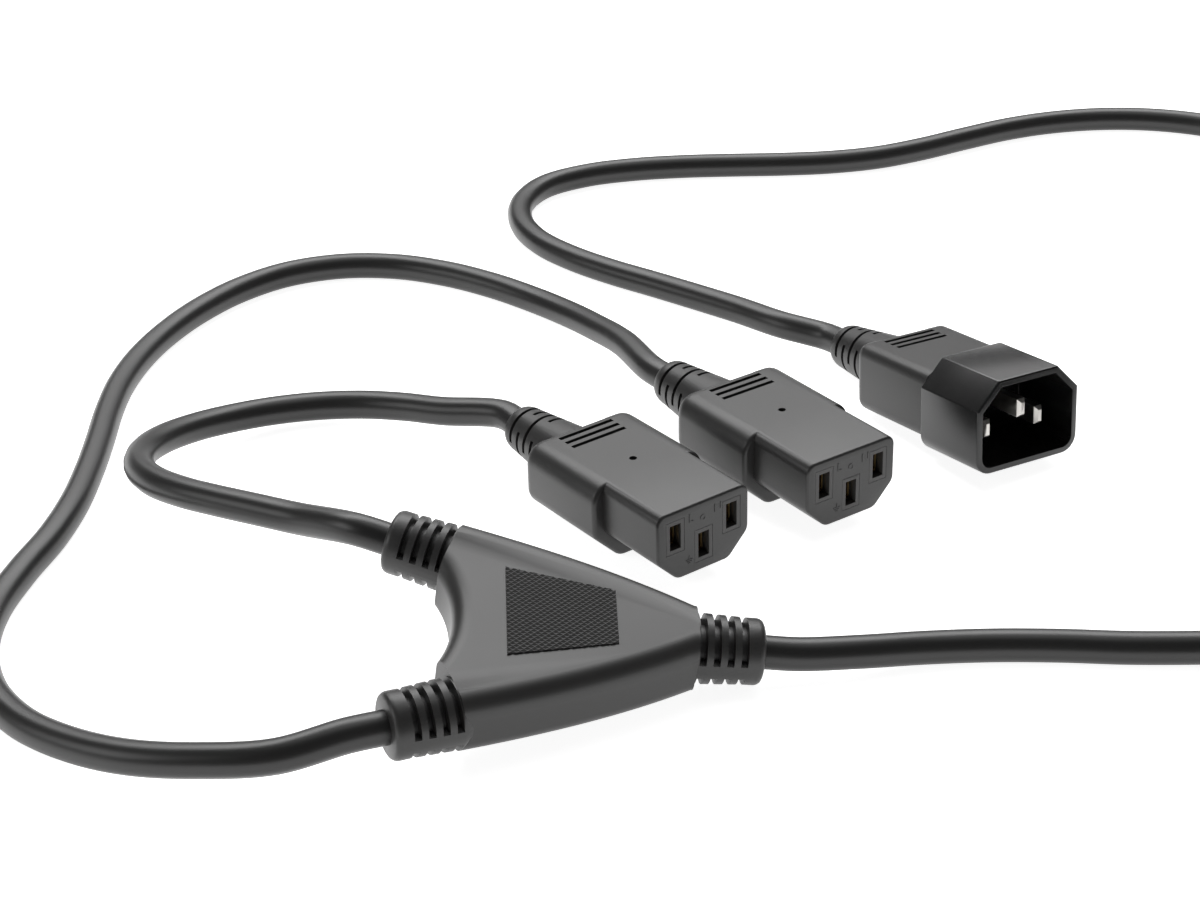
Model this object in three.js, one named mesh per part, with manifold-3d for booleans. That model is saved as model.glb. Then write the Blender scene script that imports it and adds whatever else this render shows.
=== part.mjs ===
// A mains cord splitter: one shrouded three-pin plug feeds two three-slot sockets through a Y moulding.
// Millimetres, +Z up. The origin is under the middle of the Y moulding, on the surface that it lies on.
// +X runs from the two legs of the Y towards its trunk. The camera side is -Y.
import * as THREE from "three";
import { mergeVertices } from "three/addons/utils/BufferGeometryUtils.js";
import Module from "manifold-3d";

const wasm = await Module();
wasm.setup();

// Sizes that everything shares
const GAP = 0.3; // clearance between pieces that touch
const CORD_D = 6.4; // round sheath of the three-core cord
const CORD_SIDES = 10;
const CORD_STEP = 18; // length of one straight step of a cord's solid
const PIN_PITCH = 14; // line pin to neutral pin
const EARTH_RISE = 4; // earth pin off the line through the other two
const CORE_D = 2.0; // one insulated core
const CORE_SIDES = 6;
const CORE_STEPS = 7;
const CORE_RING = 1.5; // the three cores lie on this radius inside a sleeve
const CORE_ANGLES = { line: 210, neutral: 330, earth: 90 }; // degrees round the sleeve's axis
const POLES = ["line", "neutral", "earth"];

// Ribbed sleeve at the rear of a socket or plug
const SLEEVE_ROOT_R = 7.2; // at the housing; it tapers to the neck, which ends in a rounded tip
const SLEEVE_NECK_R = 5.2;
const SLEEVE_TIP_R = 4.1;
const SLEEVE_TIP = 3.0; // length of the rounded tip
const SLEEVE_SLOT_W = 0.95;
const SLEEVE_SLOT_PITCH = 2.8;
const SLEEVE_SLOT_DEPTH = 0.9;
const SLEEVE_SLOTS = 4;
const SLEEVE_SLOT_SPAN = 128; // degrees of each arc
const SLEEVE_FIRST_ANGLE = 125; // middle of the first arc; the next slot is a quarter turn on
const SLEEVE_END_LAND = 0.3; // plain band between the outermost slot and the tip
const SLEEVE_L = 20; // from the housing's rear wall to the end of the tip

// Socket
const NOSE_W = 22.8;
const NOSE_H = 15.4;
const NOSE_L = 17.3;
const NOSE_CHAMFER = 5.0; // its two lower corners
const NOSE_TOP_R = 2.2;
const COLLAR_STEP = 2.4; // the collar stands out this far at the sides and below
const COLLAR_L = 24.6;
const COLLAR_TOP_R = 4.4;
const COLLAR_REAR_R = 3.4; // its rear corners seen from above
const COLLAR_REAR_TOP_R = 2.6; // its rear corners seen from the side
const SLOT_W = 2.65;
const SLOT_H = 5.4;
const SLOT_RIM = 0.9; // rim of the contact carrier round each slot
const SLOT_DROP = 5.6; // line and neutral slots below the top of the nose
const TUBE_L = 15.5; // the carrier's tubes, from the face to their plate
const PLATE_T = 2.0;
const FACE_WALL = 1.2; // front wall of a tube, which the slot goes through
const CONTACT_WALL = 0.4;
const CONTACT_L = 12;
const CRIMP_D = 3.0;
const CRIMP_L = 4.5;
const TAIL_T = 1.0; // flat tail from contact or pin to its crimp
const TAIL_H = 2.0;
const TAIL_L = 4.5;

// Finger grooves and peg hole on top of a housing
const GROOVES = 4;
const GROOVE_PITCH = 2.2;
const GROOVE_W = 1.05;
const GROOVE_DEPTH = 0.8;
const GROOVE_L = 13.4;
const GROOVE_FROM_REAR = 1.5; // rear wall to the middle of the first groove
const PEG_HOLE_D = 1.6;
const PEG_HOLE_DEPTH = 2.6;
const PEG_HOLE_BACK = 5.1; // behind the front of the collar

// Plug
const CAVITY_W = 24.0;
const CAVITY_H = 17.2;
const CAVITY_DEPTH = 17.2;
const CAVITY_CHAMFER = 4.8; // its two upper corners
const CAVITY_R = 2.4; // its two lower corners
const SHROUD_WALL = 1.45;
const SHROUD_BACK = 1.8; // the wall behind the cavity
const LIP_BEVEL = 0.5;
const PIN_T = 2.0;
const PIN_H = 4.0;
const PIN_TIP = 1.2; // bevelled end
const PIN_RECESS = 4.4; // line and neutral tips behind the lip
const EARTH_RECESS = 1.7;
const PIN_RISE = 6.4; // line and neutral pins above the cavity's floor side
const PIN_ROOT = 4.5; // how far a pin reaches back into the carrier block
const BLOCK_L = 6.0; // carrier block behind the shroud, inside the rear housing
const BLOCK_W = 18.5;
const BLOCK_H = 9.4;
const REAR_W = 24.6;
const REAR_H = 15.4;
const REAR_L = 24.6;
const REAR_BOTTOM = 1.8; // underside above the shroud's underside
const REAR_BOTTOM_R = 2.8;
const REAR_TOP_R = 2.8;
const REAR_AXIS = 8.5; // the sleeve's axis above the shroud's underside

// Y moulding
const Y_LENGTH = 68; // trunk exit to the middle of the leg exits
const LEG_OUT = 24.2; // leg exits to either side of the axis
const LEG_ANGLE = 20.5; // degrees between a leg and the axis
const BODY_T = 13;
const BODY_EDGE = 3.9; // soft bevel round the top and the underside
const BODY_EDGE_H = 3.6;
const SADDLE_R = 26; // hollow between the legs
const SADDLE_END = { x: -60.4, y: 13.0 }; // where the hollow meets a leg's sleeve
const SHOULDER_IN = 1.3; // the body is this much narrower than the ribs where the legs begin
const RIB_R = 6.55;
const RIB_TIP_R = 6.15; // ribs and flange taper to this
const RIB_LENGTH = 12.4;
const RIB_SLOT_W = 1.3;
const RIB_SLOTS = 4;
const RIB_SLOT_PITCH = 2.55;
const RIB_FLANGE = 3.2; // wide band at the exit
const RIB_SLOT_DEPTH = 1.9;
const RIB_SLOT_SPAN = 152;
const PATCH = { near: 6.9, far: 11.3, start: -47.4, end: -27.4 }; // trapezoid panel on top
const PATCH_RISE = 0.35;
const JOINT_D = 4.4; // crimp that joins one core of each cord
const JOINT_L = 9;
const JOINT_X = -28.5; // middle of the crimps
const JOINT_PITCH = 5.1;
const JOINT_PAIR = 1.3; // the two branch cores enter a crimp this far above and below its middle
const CORE_LIFT = { line: -0.45, neutral: -0.45, earth: 0.9 }; // the earth core passes over the others

// Where things lie
const Y_YAW = 3.15; // degrees
const Y_PITCH = 8.1; // degrees: it rests on its trunk end, and the stiff branches hold up its legs
const Y_ROLL = 11.2; // degrees: the front branch holds its leg higher
const SOCKET_A_AT = { x: 25.87, y: 39.12, heading: -54.1 };
const SOCKET_B_AT = { x: 56.57, y: 57.62, heading: -56.1 };
const PLUG_AT = { x: 95.66, y: 76.3, heading: -59.62, pitch: -6.1, roll: -2.77 };

// Routes of the cords after their straight exits, each from its first exit to its second
const LEAD_OUT = 7; // straight cord at each exit
const FRONT_ROUTE = [
  [-52.2, 35.9, 18.4],
  [-60.7, 41.3, 17.6],
  [-69.1, 46.8, 16.7],
  [-77.2, 52.9, 15.6],
  [-84.1, 60.2, 14.3],
  [-88.5, 69.1, 12.8],
  [-89.3, 79.0, 10.9],
  [-86.8, 88.6, 8.8],
  [-81.8, 97.1, 6.8],
  [-74.8, 104.2, 5.1],
  [-66.1, 109.2, 4.1],
  [-56.3, 111.5, 3.8],
  [-46.2, 110.7, 4.2],
  [-36.7, 107.3, 5.1],
  [-28.0, 102.2, 6.4],
];
const REAR_ROUTE = [
  [-50.3, -29.9, 9.8],
  [-63.9, -28.1, 8.1],
  [-77.0, -23.9, 6.3],
  [-88.8, -16.9, 4.6],
  [-99.2, -7.9, 3.5],
  [-107.0, 3.5, 3.2],
  [-111.1, 16.7, 3.2],
  [-111.6, 30.5, 3.2],
  [-109.2, 44.1, 3.2],
  [-105.7, 57.5, 3.2],
  [-103.6, 71.2, 3.2],
  [-102.9, 85.0, 3.2],
  [-102.9, 98.9, 3.2],
  [-103.2, 112.7, 3.2],
  [-102.6, 126.6, 3.2],
  [-100.2, 140.2, 3.2],
  [-95.8, 153.4, 3.2],
  [-89.6, 165.7, 3.2],
  [-81.3, 176.8, 3.2],
  [-70.5, 185.3, 3.2],
  [-57.3, 189.2, 3.2],
  [-43.6, 188.0, 3.2],
  [-30.8, 182.7, 3.2],
  [-19.3, 175.0, 3.2],
  [-9.0, 165.7, 3.3],
  [-0.4, 154.9, 4.2],
  [6.4, 143.0, 5.9],
  [12.3, 130.6, 7.8],
];
const TRUNK_NEAR_ROUTE = [
  [52.5, 5.1, 4.3],
  [64.9, 7.2, 3.4],
  [77.5, 7.6, 3.2],
  [90.0, 6.8, 3.2],
  [102.6, 5.4, 3.2],
  [118.0, 4.7, 3.2],
  [134.0, 4.1, 3.7],
  [151.2, 3.9, 4.4],
];
const TRUNK_FAR_ROUTE = [
  [210.9, 70.3, 9.9],
  [211.0, 87.5, 7.2],
  [211.1, 101.2, 5.1],
  [211.2, 115.0, 3.9],
  [211.4, 128.8, 3.4],
  [211.5, 142.7, 3.2],
  [211.5, 156.5, 3.2],
  [211.5, 170.4, 3.2],
  [211.2, 184.2, 3.2],
  [210.6, 198.0, 3.2],
  [209.4, 211.8, 3.2],
  [207.0, 225.5, 3.2],
  [202.9, 238.7, 3.2],
  [196.7, 251.0, 3.2],
  [188.0, 261.7, 3.2],
  [176.7, 269.7, 3.2],
  [163.8, 274.5, 3.2],
  [150.1, 276.0, 3.2],
  [136.3, 274.4, 3.2],
  [123.2, 270.3, 3.2],
  [110.7, 264.2, 3.2],
  [96.7, 256.8, 3.2],
  [84.3, 251.8, 3.2],
  [71.1, 249.4, 3.2],
  [57.8, 249.0, 3.2],
  [44.4, 249.4, 3.2],
  [31.0, 249.5, 3.2],
  [17.7, 248.4, 3.2],
  [4.7, 245.1, 3.2],
  [-6.5, 238.0, 3.2],
  [-12.4, 226.2, 3.2],
  [-12.3, 212.9, 3.2],
  [-7.5, 200.5, 3.2],
  [0.6, 190.0, 3.2],
  [10.4, 180.8, 3.2],
  [20.7, 172.2, 3.4],
  [30.8, 163.5, 3.6],
  [40.5, 154.2, 4.1],
  [49.6, 144.4, 4.7],
];

// Coil of the trunk's spare length, just past the right of the view
const COIL_AT = { x: 175.2, y: 42.8 };
const COIL_R = 35.7; // middle of its turns
const COIL_LAYERS = 2;
const COIL_TURNS_ACROSS = 2;
const TIE_T = 0.9;
const TIE_W = 9;
const TIE_ANGLE = 320; // degrees round the coil
const COIL_RISE = TIE_T + GAP; // the tie passes under the coil

const rad = THREE.MathUtils.degToRad;
const AXIS_X = new THREE.Vector3(1, 0, 0);

// Materials
const plastic = (color, roughness) =>
  new THREE.MeshStandardMaterial({ color, roughness, metalness: 0 });
const metal = (color, roughness) =>
  new THREE.MeshStandardMaterial({ color, roughness, metalness: 1 });
const overmould = plastic(0x34312f, 0.5);
const sheath = plastic(0x2b2827, 0.55);
const carrierPlastic = plastic(0x3a3735, 0.5);
const glossPlastic = plastic(0x18171a, 0.22);
const nickel = metal(0xb9b7b2, 0.3);
const brass = metal(0xb08d4c, 0.35);
const tiePlastic = plastic(0x1c1b1b, 0.6);
const coreColours = {
  line: plastic(0x6b3a1e, 0.5),
  neutral: plastic(0x2b5fa8, 0.5),
  earth: plastic(0x6f9c2e, 0.5),
};

// Solids and booleans
function solidOf(geometry) {
  const bare = geometry.clone();
  bare.deleteAttribute("normal");
  bare.deleteAttribute("uv");
  const merged = mergeVertices(bare, 1e-4);
  return new wasm.Manifold(
    new wasm.Mesh({
      numProp: 3,
      vertProperties: new Float32Array(merged.attributes.position.array),
      triVerts: new Uint32Array(merged.index.array),
    }),
  );
}

function geometryOf(solid) {
  const mesh = solid.getMesh();
  const geometry = new THREE.BufferGeometry();
  geometry.setAttribute("position", new THREE.BufferAttribute(mesh.vertProperties, 3));
  geometry.setIndex(new THREE.BufferAttribute(mesh.triVerts, 1));
  geometry.computeVertexNormals();
  return geometry;
}

const join = (...solids) => solids.reduce((a, b) => a.add(b));
const cut = (solid, ...tools) => tools.reduce((a, b) => a.subtract(b), solid);
const common = (...solids) => solids.reduce((a, b) => a.intersect(b));

function box(x0, x1, y0, y1, z0, z1) {
  const geometry = new THREE.BoxGeometry(x1 - x0, y1 - y0, z1 - z0);
  geometry.translate((x0 + x1) / 2, (y0 + y1) / 2, (z0 + z1) / 2);
  return solidOf(geometry);
}

// An outline drawn in Y and Z, run from x0 to x1
function alongX(shape, x0, x1, curveSegments = 4) {
  const geometry = new THREE.ExtrudeGeometry(shape, {
    depth: x1 - x0,
    bevelEnabled: false,
    curveSegments,
  });
  const turn = new THREE.Matrix4().makeBasis(
    new THREE.Vector3(0, 1, 0),
    new THREE.Vector3(0, 0, 1),
    new THREE.Vector3(1, 0, 0),
  );
  geometry.applyMatrix4(turn);
  geometry.translate(x0, 0, 0);
  return solidOf(geometry);
}

// An outline drawn in X and Y, run from z0 to z1
function alongZ(shape, z0, z1, curveSegments = 4) {
  const geometry = new THREE.ExtrudeGeometry(shape, {
    depth: z1 - z0,
    bevelEnabled: false,
    curveSegments,
  });
  geometry.translate(0, 0, z0);
  return solidOf(geometry);
}

// An outline drawn in X and Z, run from y0 to y1
function alongY(shape, y0, y1, curveSegments = 4) {
  const geometry = new THREE.ExtrudeGeometry(shape, {
    depth: y1 - y0,
    bevelEnabled: false,
    curveSegments,
  });
  geometry.rotateX(Math.PI / 2);
  geometry.translate(0, y1, 0);
  return solidOf(geometry);
}

// A profile of [distance from the axis, x] pairs turned round the X axis
function turned(profile, segments) {
  const points = profile.map(([r, x]) => new THREE.Vector2(r, x));
  const geometry = new THREE.LatheGeometry(points, segments);
  geometry.rotateZ(-Math.PI / 2);
  return solidOf(geometry);
}

// Part of a ring round the X axis, from the radius inner to outer, centred on an angle in degrees
function arcSector(inner, outer, x0, x1, middle, span, segments = 9) {
  const shape = new THREE.Shape();
  const from = rad(middle - span / 2);
  const to = rad(middle + span / 2);
  shape.absarc(0, 0, outer, from, to, false);
  shape.absarc(0, 0, inner, to, from, true);
  shape.closePath();
  return alongX(shape, x0, x1, segments);
}

// Corner kinds of a rounded or chamfered rectangle in Y and Z
function housingShape(halfW, bottom, top, { bottomChamfer = 0, bottomR = 0, topChamfer = 0, topR = 0 }) {
  const s = new THREE.Shape();
  const low = bottomChamfer || bottomR;
  const high = topChamfer || topR;
  s.moveTo(-halfW + low, bottom);
  s.lineTo(halfW - low, bottom);
  if (bottomChamfer) s.lineTo(halfW, bottom + low);
  else if (bottomR) s.absarc(halfW - low, bottom + low, low, -Math.PI / 2, 0, false);
  s.lineTo(halfW, top - high);
  if (topChamfer) s.lineTo(halfW - high, top);
  else if (topR) s.absarc(halfW - high, top - high, high, 0, Math.PI / 2, false);
  s.lineTo(-halfW + high, top);
  if (topChamfer) s.lineTo(-halfW, top - high);
  else if (topR) s.absarc(-halfW + high, top - high, high, Math.PI / 2, Math.PI, false);
  s.lineTo(-halfW, bottom + low);
  if (bottomR && !bottomChamfer) s.absarc(-halfW + low, bottom + low, low, Math.PI, 1.5 * Math.PI, false);
  s.closePath();
  return s;
}

function tube(path, radius, sides, steps) {
  const section = new THREE.Shape();
  for (let i = 0; i < sides; i++) {
    const angle = (i * 2 * Math.PI) / sides;
    const x = radius * Math.cos(angle);
    const y = radius * Math.sin(angle);
    if (i) section.lineTo(x, y);
    else section.moveTo(x, y);
  }
  section.closePath();
  return new THREE.ExtrudeGeometry(section, { extrudePath: path, steps, bevelEnabled: false });
}

const curve = (points) => new THREE.CatmullRomCurve3(points, false, "centripetal");

// A core and the channel that holds it share one path
function coreTube(points, radius) {
  return solidOf(tube(curve(points), radius, CORE_SIDES, CORE_STEPS));
}

const CORE_R = CORE_D / 2;
const CHANNEL_R = CORE_R + GAP / Math.cos(Math.PI / CORE_SIDES);
const POCKET_END = 0.5; // a crimp's pocket goes this far past both of its ends
const BORE_R = CORE_RING + CORE_R + GAP + 0.15;
const CORD_R = CORD_D / 2;

const inSleeve = (pole, x, z = 0, hand = 1) =>
  new THREE.Vector3(
    x,
    hand * CORE_RING * Math.cos(rad(CORE_ANGLES[pole])),
    z + CORE_RING * Math.sin(rad(CORE_ANGLES[pole])),
  );

// Ribbed sleeve along the X axis with its exit at the low end, shared by sockets and plug
function connectorSleeve(rearX, axisZ) {
  const endX = rearX - SLEEVE_L;
  const root = rearX + 1;
  const taper = (SLEEVE_ROOT_R - SLEEVE_NECK_R) / SLEEVE_L;
  let sleeve = turned(
    [
      [0, endX],
      [SLEEVE_TIP_R, endX],
      [SLEEVE_TIP_R + (SLEEVE_NECK_R - SLEEVE_TIP_R) * 0.7, endX + SLEEVE_TIP * 0.35],
      [SLEEVE_NECK_R, endX + SLEEVE_TIP],
      [SLEEVE_ROOT_R, root],
      [0, root],
    ],
    24,
  );
  for (let i = 0; i < SLEEVE_SLOTS; i++) {
    const x = endX + SLEEVE_TIP + SLEEVE_END_LAND + i * SLEEVE_SLOT_PITCH;
    const first = SLEEVE_FIRST_ANGLE + (i % 2) * 90;
    for (const middle of [first, first + 180]) {
      const slot = arcSector(
        SLEEVE_NECK_R - SLEEVE_SLOT_DEPTH + i * SLEEVE_SLOT_PITCH * taper,
        SLEEVE_ROOT_R + 1,
        x - SLEEVE_SLOT_W / 2,
        x + SLEEVE_SLOT_W / 2,
        middle,
        SLEEVE_SLOT_SPAN,
      );
      sleeve = cut(sleeve, slot);
    }
  }
  return sleeve.translate([0, 0, axisZ]);
}

// Grooves across the top near the rear, and the small round hole of the mould's peg
function topDetails(rearX, top, pegX) {
  const tools = [];
  for (let i = 0; i < GROOVES; i++) {
    const x = rearX + GROOVE_FROM_REAR + i * GROOVE_PITCH;
    tools.push(
      box(x - GROOVE_W / 2, x + GROOVE_W / 2, -GROOVE_L / 2, GROOVE_L / 2, top - GROOVE_DEPTH, top + 1),
    );
  }
  if (pegX !== undefined) {
    const peg = new THREE.CylinderGeometry(PEG_HOLE_D / 2, PEG_HOLE_D / 2, PEG_HOLE_DEPTH * 2, 12);
    peg.rotateX(Math.PI / 2);
    peg.translate(pegX, 0, top);
    tools.push(solidOf(peg));
  }
  return tools;
}

// A housing seen from above and from the side, with its rear corners rounded
function roundedRear(rearX, frontX, halfW, bottom, top, planR, sideR) {
  const plan = new THREE.Shape();
  plan.moveTo(frontX, -halfW);
  plan.lineTo(frontX, halfW);
  plan.lineTo(rearX + planR, halfW);
  plan.absarc(rearX + planR, halfW - planR, planR, Math.PI / 2, Math.PI, false);
  plan.absarc(rearX + planR, -halfW + planR, planR, Math.PI, 1.5 * Math.PI, false);
  plan.closePath();
  const side = new THREE.Shape();
  side.moveTo(frontX, bottom);
  side.lineTo(frontX, top);
  side.lineTo(rearX + sideR, top);
  side.absarc(rearX + sideR, top - sideR, sideR, Math.PI / 2, Math.PI, false);
  side.lineTo(rearX, bottom + sideR);
  side.absarc(rearX + sideR, bottom + sideR, sideR, Math.PI, 1.5 * Math.PI, false);
  side.closePath();
  return common(
    alongZ(plan, bottom - 1, top + 1, 4),
    alongY(side, -halfW - 1, halfW + 1, 4),
  );
}

// Nodes of a group, in the order they are made
function piece(group, name, solid, material) {
  const mesh = new THREE.Mesh(solid.isBufferGeometry ? solid : geometryOf(solid), material);
  mesh.name = name;
  group.add(mesh);
  return mesh;
}

// Heights of the socket's features above the surface
const NOSE_TOP = COLLAR_STEP + NOSE_H;
const SOCKET_PIN_Z = NOSE_TOP - SLOT_DROP;
const SOCKET_REAR = -(NOSE_L + COLLAR_L);
const SOCKET_AXIS_Z = NOSE_TOP / 2;
const SOCKET_EXIT_X = SOCKET_REAR - SLEEVE_L;
const socketPin = {
  line: { y: -PIN_PITCH / 2, z: SOCKET_PIN_Z },
  neutral: { y: PIN_PITCH / 2, z: SOCKET_PIN_Z },
  earth: { y: 0, z: SOCKET_PIN_Z - EARTH_RISE },
};

const TUBE_HALF_W = SLOT_W / 2 + SLOT_RIM;
const TUBE_HALF_H = SLOT_H / 2 + SLOT_RIM;
const PLATE_MARGIN = 0.6;
const plateHalfW = PIN_PITCH / 2 + TUBE_HALF_W + PLATE_MARGIN;

function carrierTubes(grow, x0, x1) {
  return POLES.map((pole) => {
    const { y, z } = socketPin[pole];
    const w = TUBE_HALF_W + grow;
    const h = TUBE_HALF_H + grow;
    return box(x0, x1, y - w, y + w, z - h, z + h);
  });
}

function carrierPlate(grow, x0, x1) {
  const low = SOCKET_PIN_Z - EARTH_RISE - TUBE_HALF_H - grow;
  const high = SOCKET_PIN_Z + TUBE_HALF_H + grow;
  const shape = housingShape(plateHalfW + grow, low, high, { bottomChamfer: EARTH_RISE - 0.4 });
  return alongX(shape, x0, x1);
}

// Paths of a connector's cores from the back of their crimps to the cord's end
function connectorCores(pins, crimpX, exitX, axisZ) {
  const paths = {};
  const bendX = exitX + SLEEVE_L + 1;
  for (const pole of POLES) {
    const { y, z } = pins[pole];
    const start = crimpX - GAP;
    paths[pole] = [
      new THREE.Vector3(start, y, z),
      new THREE.Vector3(start - 2, y, z),
      inSleeve(pole, bendX, axisZ),
      inSleeve(pole, bendX - 5, axisZ),
      inSleeve(pole, exitX, axisZ),
    ];
  }
  return paths;
}

// The cores share one bore in the sleeve and part into channels of their own in front of it
function coreChannels(paths, exitX, axisZ) {
  const bore = turned(
    [
      [0, exitX - 1],
      [BORE_R, exitX - 1],
      [BORE_R, exitX + SLEEVE_L - 1],
      [0, exitX + SLEEVE_L - 1],
    ],
    16,
  ).translate([0, 0, axisZ]);
  const channels = POLES.map((pole) => coreTube(paths[pole], CHANNEL_R));
  return [bore, ...channels];
}

function crimpBarrel(x0, x1, y, z, radius, sides = 8) {
  return turned(
    [
      [0, x0],
      [radius, x0],
      [radius, x1],
      [0, x1],
    ],
    sides,
  ).translate([0, y, z]);
}

function makeSocket(prefix, at) {
  const group = new THREE.Group();
  group.position.set(at.x, at.y, 0);
  group.rotation.z = rad(at.heading);

  const noseShape = housingShape(NOSE_W / 2, COLLAR_STEP, NOSE_TOP, {
    bottomChamfer: NOSE_CHAMFER,
    topR: NOSE_TOP_R,
  });
  const collarShape = housingShape(NOSE_W / 2 + COLLAR_STEP, 0, NOSE_TOP, {
    bottomChamfer: NOSE_CHAMFER + COLLAR_STEP * (2 - Math.SQRT2),
    topR: COLLAR_TOP_R,
  });
  const nose = alongX(noseShape, -NOSE_L - 1, 0, 5);
  const collar = common(
    alongX(collarShape, SOCKET_REAR, -NOSE_L, 6),
    roundedRear(
      SOCKET_REAR,
      -NOSE_L,
      NOSE_W / 2 + COLLAR_STEP,
      0,
      NOSE_TOP,
      COLLAR_REAR_R,
      COLLAR_REAR_TOP_R,
    ),
  );

  const plateX = -TUBE_L - PLATE_T;
  const tailX = plateX - TAIL_L;
  const crimpX = tailX - CRIMP_L;
  const paths = connectorCores(socketPin, crimpX, SOCKET_EXIT_X, SOCKET_AXIS_Z);
  const pockets = POLES.map((pole) => {
    const { y, z } = socketPin[pole];
    return crimpBarrel(crimpX - POCKET_END, plateX + 0.5, y, z, CRIMP_D / 2 + GAP + 0.15, 10);
  });
  const body = cut(
    join(nose, collar, connectorSleeve(SOCKET_REAR, SOCKET_AXIS_Z)),
    ...topDetails(SOCKET_REAR, NOSE_TOP, -NOSE_L - PEG_HOLE_BACK),
    ...carrierTubes(GAP, -TUBE_L - 0.1, 1),
    carrierPlate(GAP, plateX - GAP, -TUBE_L + GAP),
    ...pockets,
    ...coreChannels(paths, SOCKET_EXIT_X, SOCKET_AXIS_Z),
  );
  piece(group, `${prefix}_body`, body, overmould);

  const chamberHalfW = SLOT_W / 2 + 0.35;
  const chamberHalfH = SLOT_H / 2 + 0.35;
  const chambers = POLES.map((pole) => {
    const { y, z } = socketPin[pole];
    return box(
      -TUBE_L + 1,
      -FACE_WALL,
      y - chamberHalfW,
      y + chamberHalfW,
      z - chamberHalfH,
      z + chamberHalfH,
    );
  });
  const slots = POLES.map((pole) => {
    const { y, z } = socketPin[pole];
    return box(-FACE_WALL - 0.5, 0.5, y - SLOT_W / 2, y + SLOT_W / 2, z - SLOT_H / 2, z + SLOT_H / 2);
  });
  const tailHoles = POLES.map((pole) => {
    const { y, z } = socketPin[pole];
    const w = TAIL_T / 2 + GAP;
    const h = TAIL_H / 2 + GAP;
    return box(plateX - 1, -TUBE_L + 1.5, y - w, y + w, z - h, z + h);
  });
  const carrier = cut(
    join(carrierPlate(0, plateX, -TUBE_L), ...carrierTubes(0, -TUBE_L - 0.5, 0)),
    ...chambers,
    ...slots,
    ...tailHoles,
  );
  piece(group, `${prefix}_contact_carrier`, carrier, carrierPlastic);

  const contactHalfW = chamberHalfW - GAP;
  const contactHalfH = chamberHalfH - GAP;
  for (const pole of POLES) {
    const { y, z } = socketPin[pole];
    const back = -TUBE_L + 1 + GAP;
    const front = back + CONTACT_L;
    const shell = box(back, front, y - contactHalfW, y + contactHalfW, z - contactHalfH, z + contactHalfH);
    const hollow = box(
      back + 1.5,
      front + 1,
      y - contactHalfW + CONTACT_WALL,
      y + contactHalfW - CONTACT_WALL,
      z - contactHalfH + CONTACT_WALL,
      z + contactHalfH - CONTACT_WALL,
    );
    const tail = box(tailX - 0.5, back + 0.5, y - TAIL_T / 2, y + TAIL_T / 2, z - TAIL_H / 2, z + TAIL_H / 2);
    const contact = join(cut(shell, hollow), tail, crimpBarrel(crimpX, tailX, y, z, CRIMP_D / 2));
    piece(group, `${prefix}_${pole}_contact`, contact, brass);
  }
  for (const pole of POLES) {
    piece(group, `${prefix}_${pole}_core`, coreTube(paths[pole], CORE_R), coreColours[pole]);
  }
  return group;
}

// Plug heights above the surface
const SHROUD_H = CAVITY_H + 2 * SHROUD_WALL;
const SHROUD_L = CAVITY_DEPTH + SHROUD_BACK;
const PLUG_PIN_Z = SHROUD_WALL + PIN_RISE;
const PLUG_REAR = -(SHROUD_L + GAP + REAR_L);
const PLUG_EXIT_X = PLUG_REAR - SLEEVE_L;
const REAR_TOP = REAR_BOTTOM + REAR_H;
const PLUG_AXIS_Z = REAR_AXIS;
const plugPin = {
  line: { y: -PIN_PITCH / 2, z: PLUG_PIN_Z, recess: PIN_RECESS },
  neutral: { y: PIN_PITCH / 2, z: PLUG_PIN_Z, recess: PIN_RECESS },
  earth: { y: 0, z: PLUG_PIN_Z + EARTH_RISE, recess: EARTH_RECESS },
};

function octagonShape(grow) {
  return housingShape(CAVITY_W / 2 + grow, SHROUD_WALL - grow, SHROUD_WALL + CAVITY_H + grow, {
    bottomR: CAVITY_R + grow,
    topChamfer: CAVITY_CHAMFER + grow * (2 - Math.SQRT2),
  });
}

function blade(x0, tip, y, z) {
  const block = box(x0, tip, y - PIN_T / 2, y + PIN_T / 2, z - PIN_H / 2, z + PIN_H / 2);
  const tipPlan = new THREE.Shape();
  tipPlan.moveTo(x0 - 1, -PIN_T);
  tipPlan.lineTo(tip - PIN_TIP - PIN_T / 2, -PIN_T);
  tipPlan.lineTo(tip, -PIN_T * 0.2);
  tipPlan.lineTo(tip, PIN_T * 0.2);
  tipPlan.lineTo(tip - PIN_TIP - PIN_T / 2, PIN_T);
  tipPlan.lineTo(x0 - 1, PIN_T);
  tipPlan.closePath();
  const tipSide = new THREE.Shape();
  tipSide.moveTo(x0 - 1, -PIN_H);
  tipSide.lineTo(tip - PIN_TIP - PIN_H / 2, -PIN_H);
  tipSide.lineTo(tip, -PIN_H * 0.32);
  tipSide.lineTo(tip, PIN_H * 0.32);
  tipSide.lineTo(tip - PIN_TIP - PIN_H / 2, PIN_H);
  tipSide.lineTo(x0 - 1, PIN_H);
  tipSide.closePath();
  return common(
    block,
    alongZ(tipPlan, -PIN_H, PIN_H).translate([0, y, z]),
    alongY(tipSide, -PIN_H, PIN_H).translate([0, y, z]),
  );
}

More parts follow.
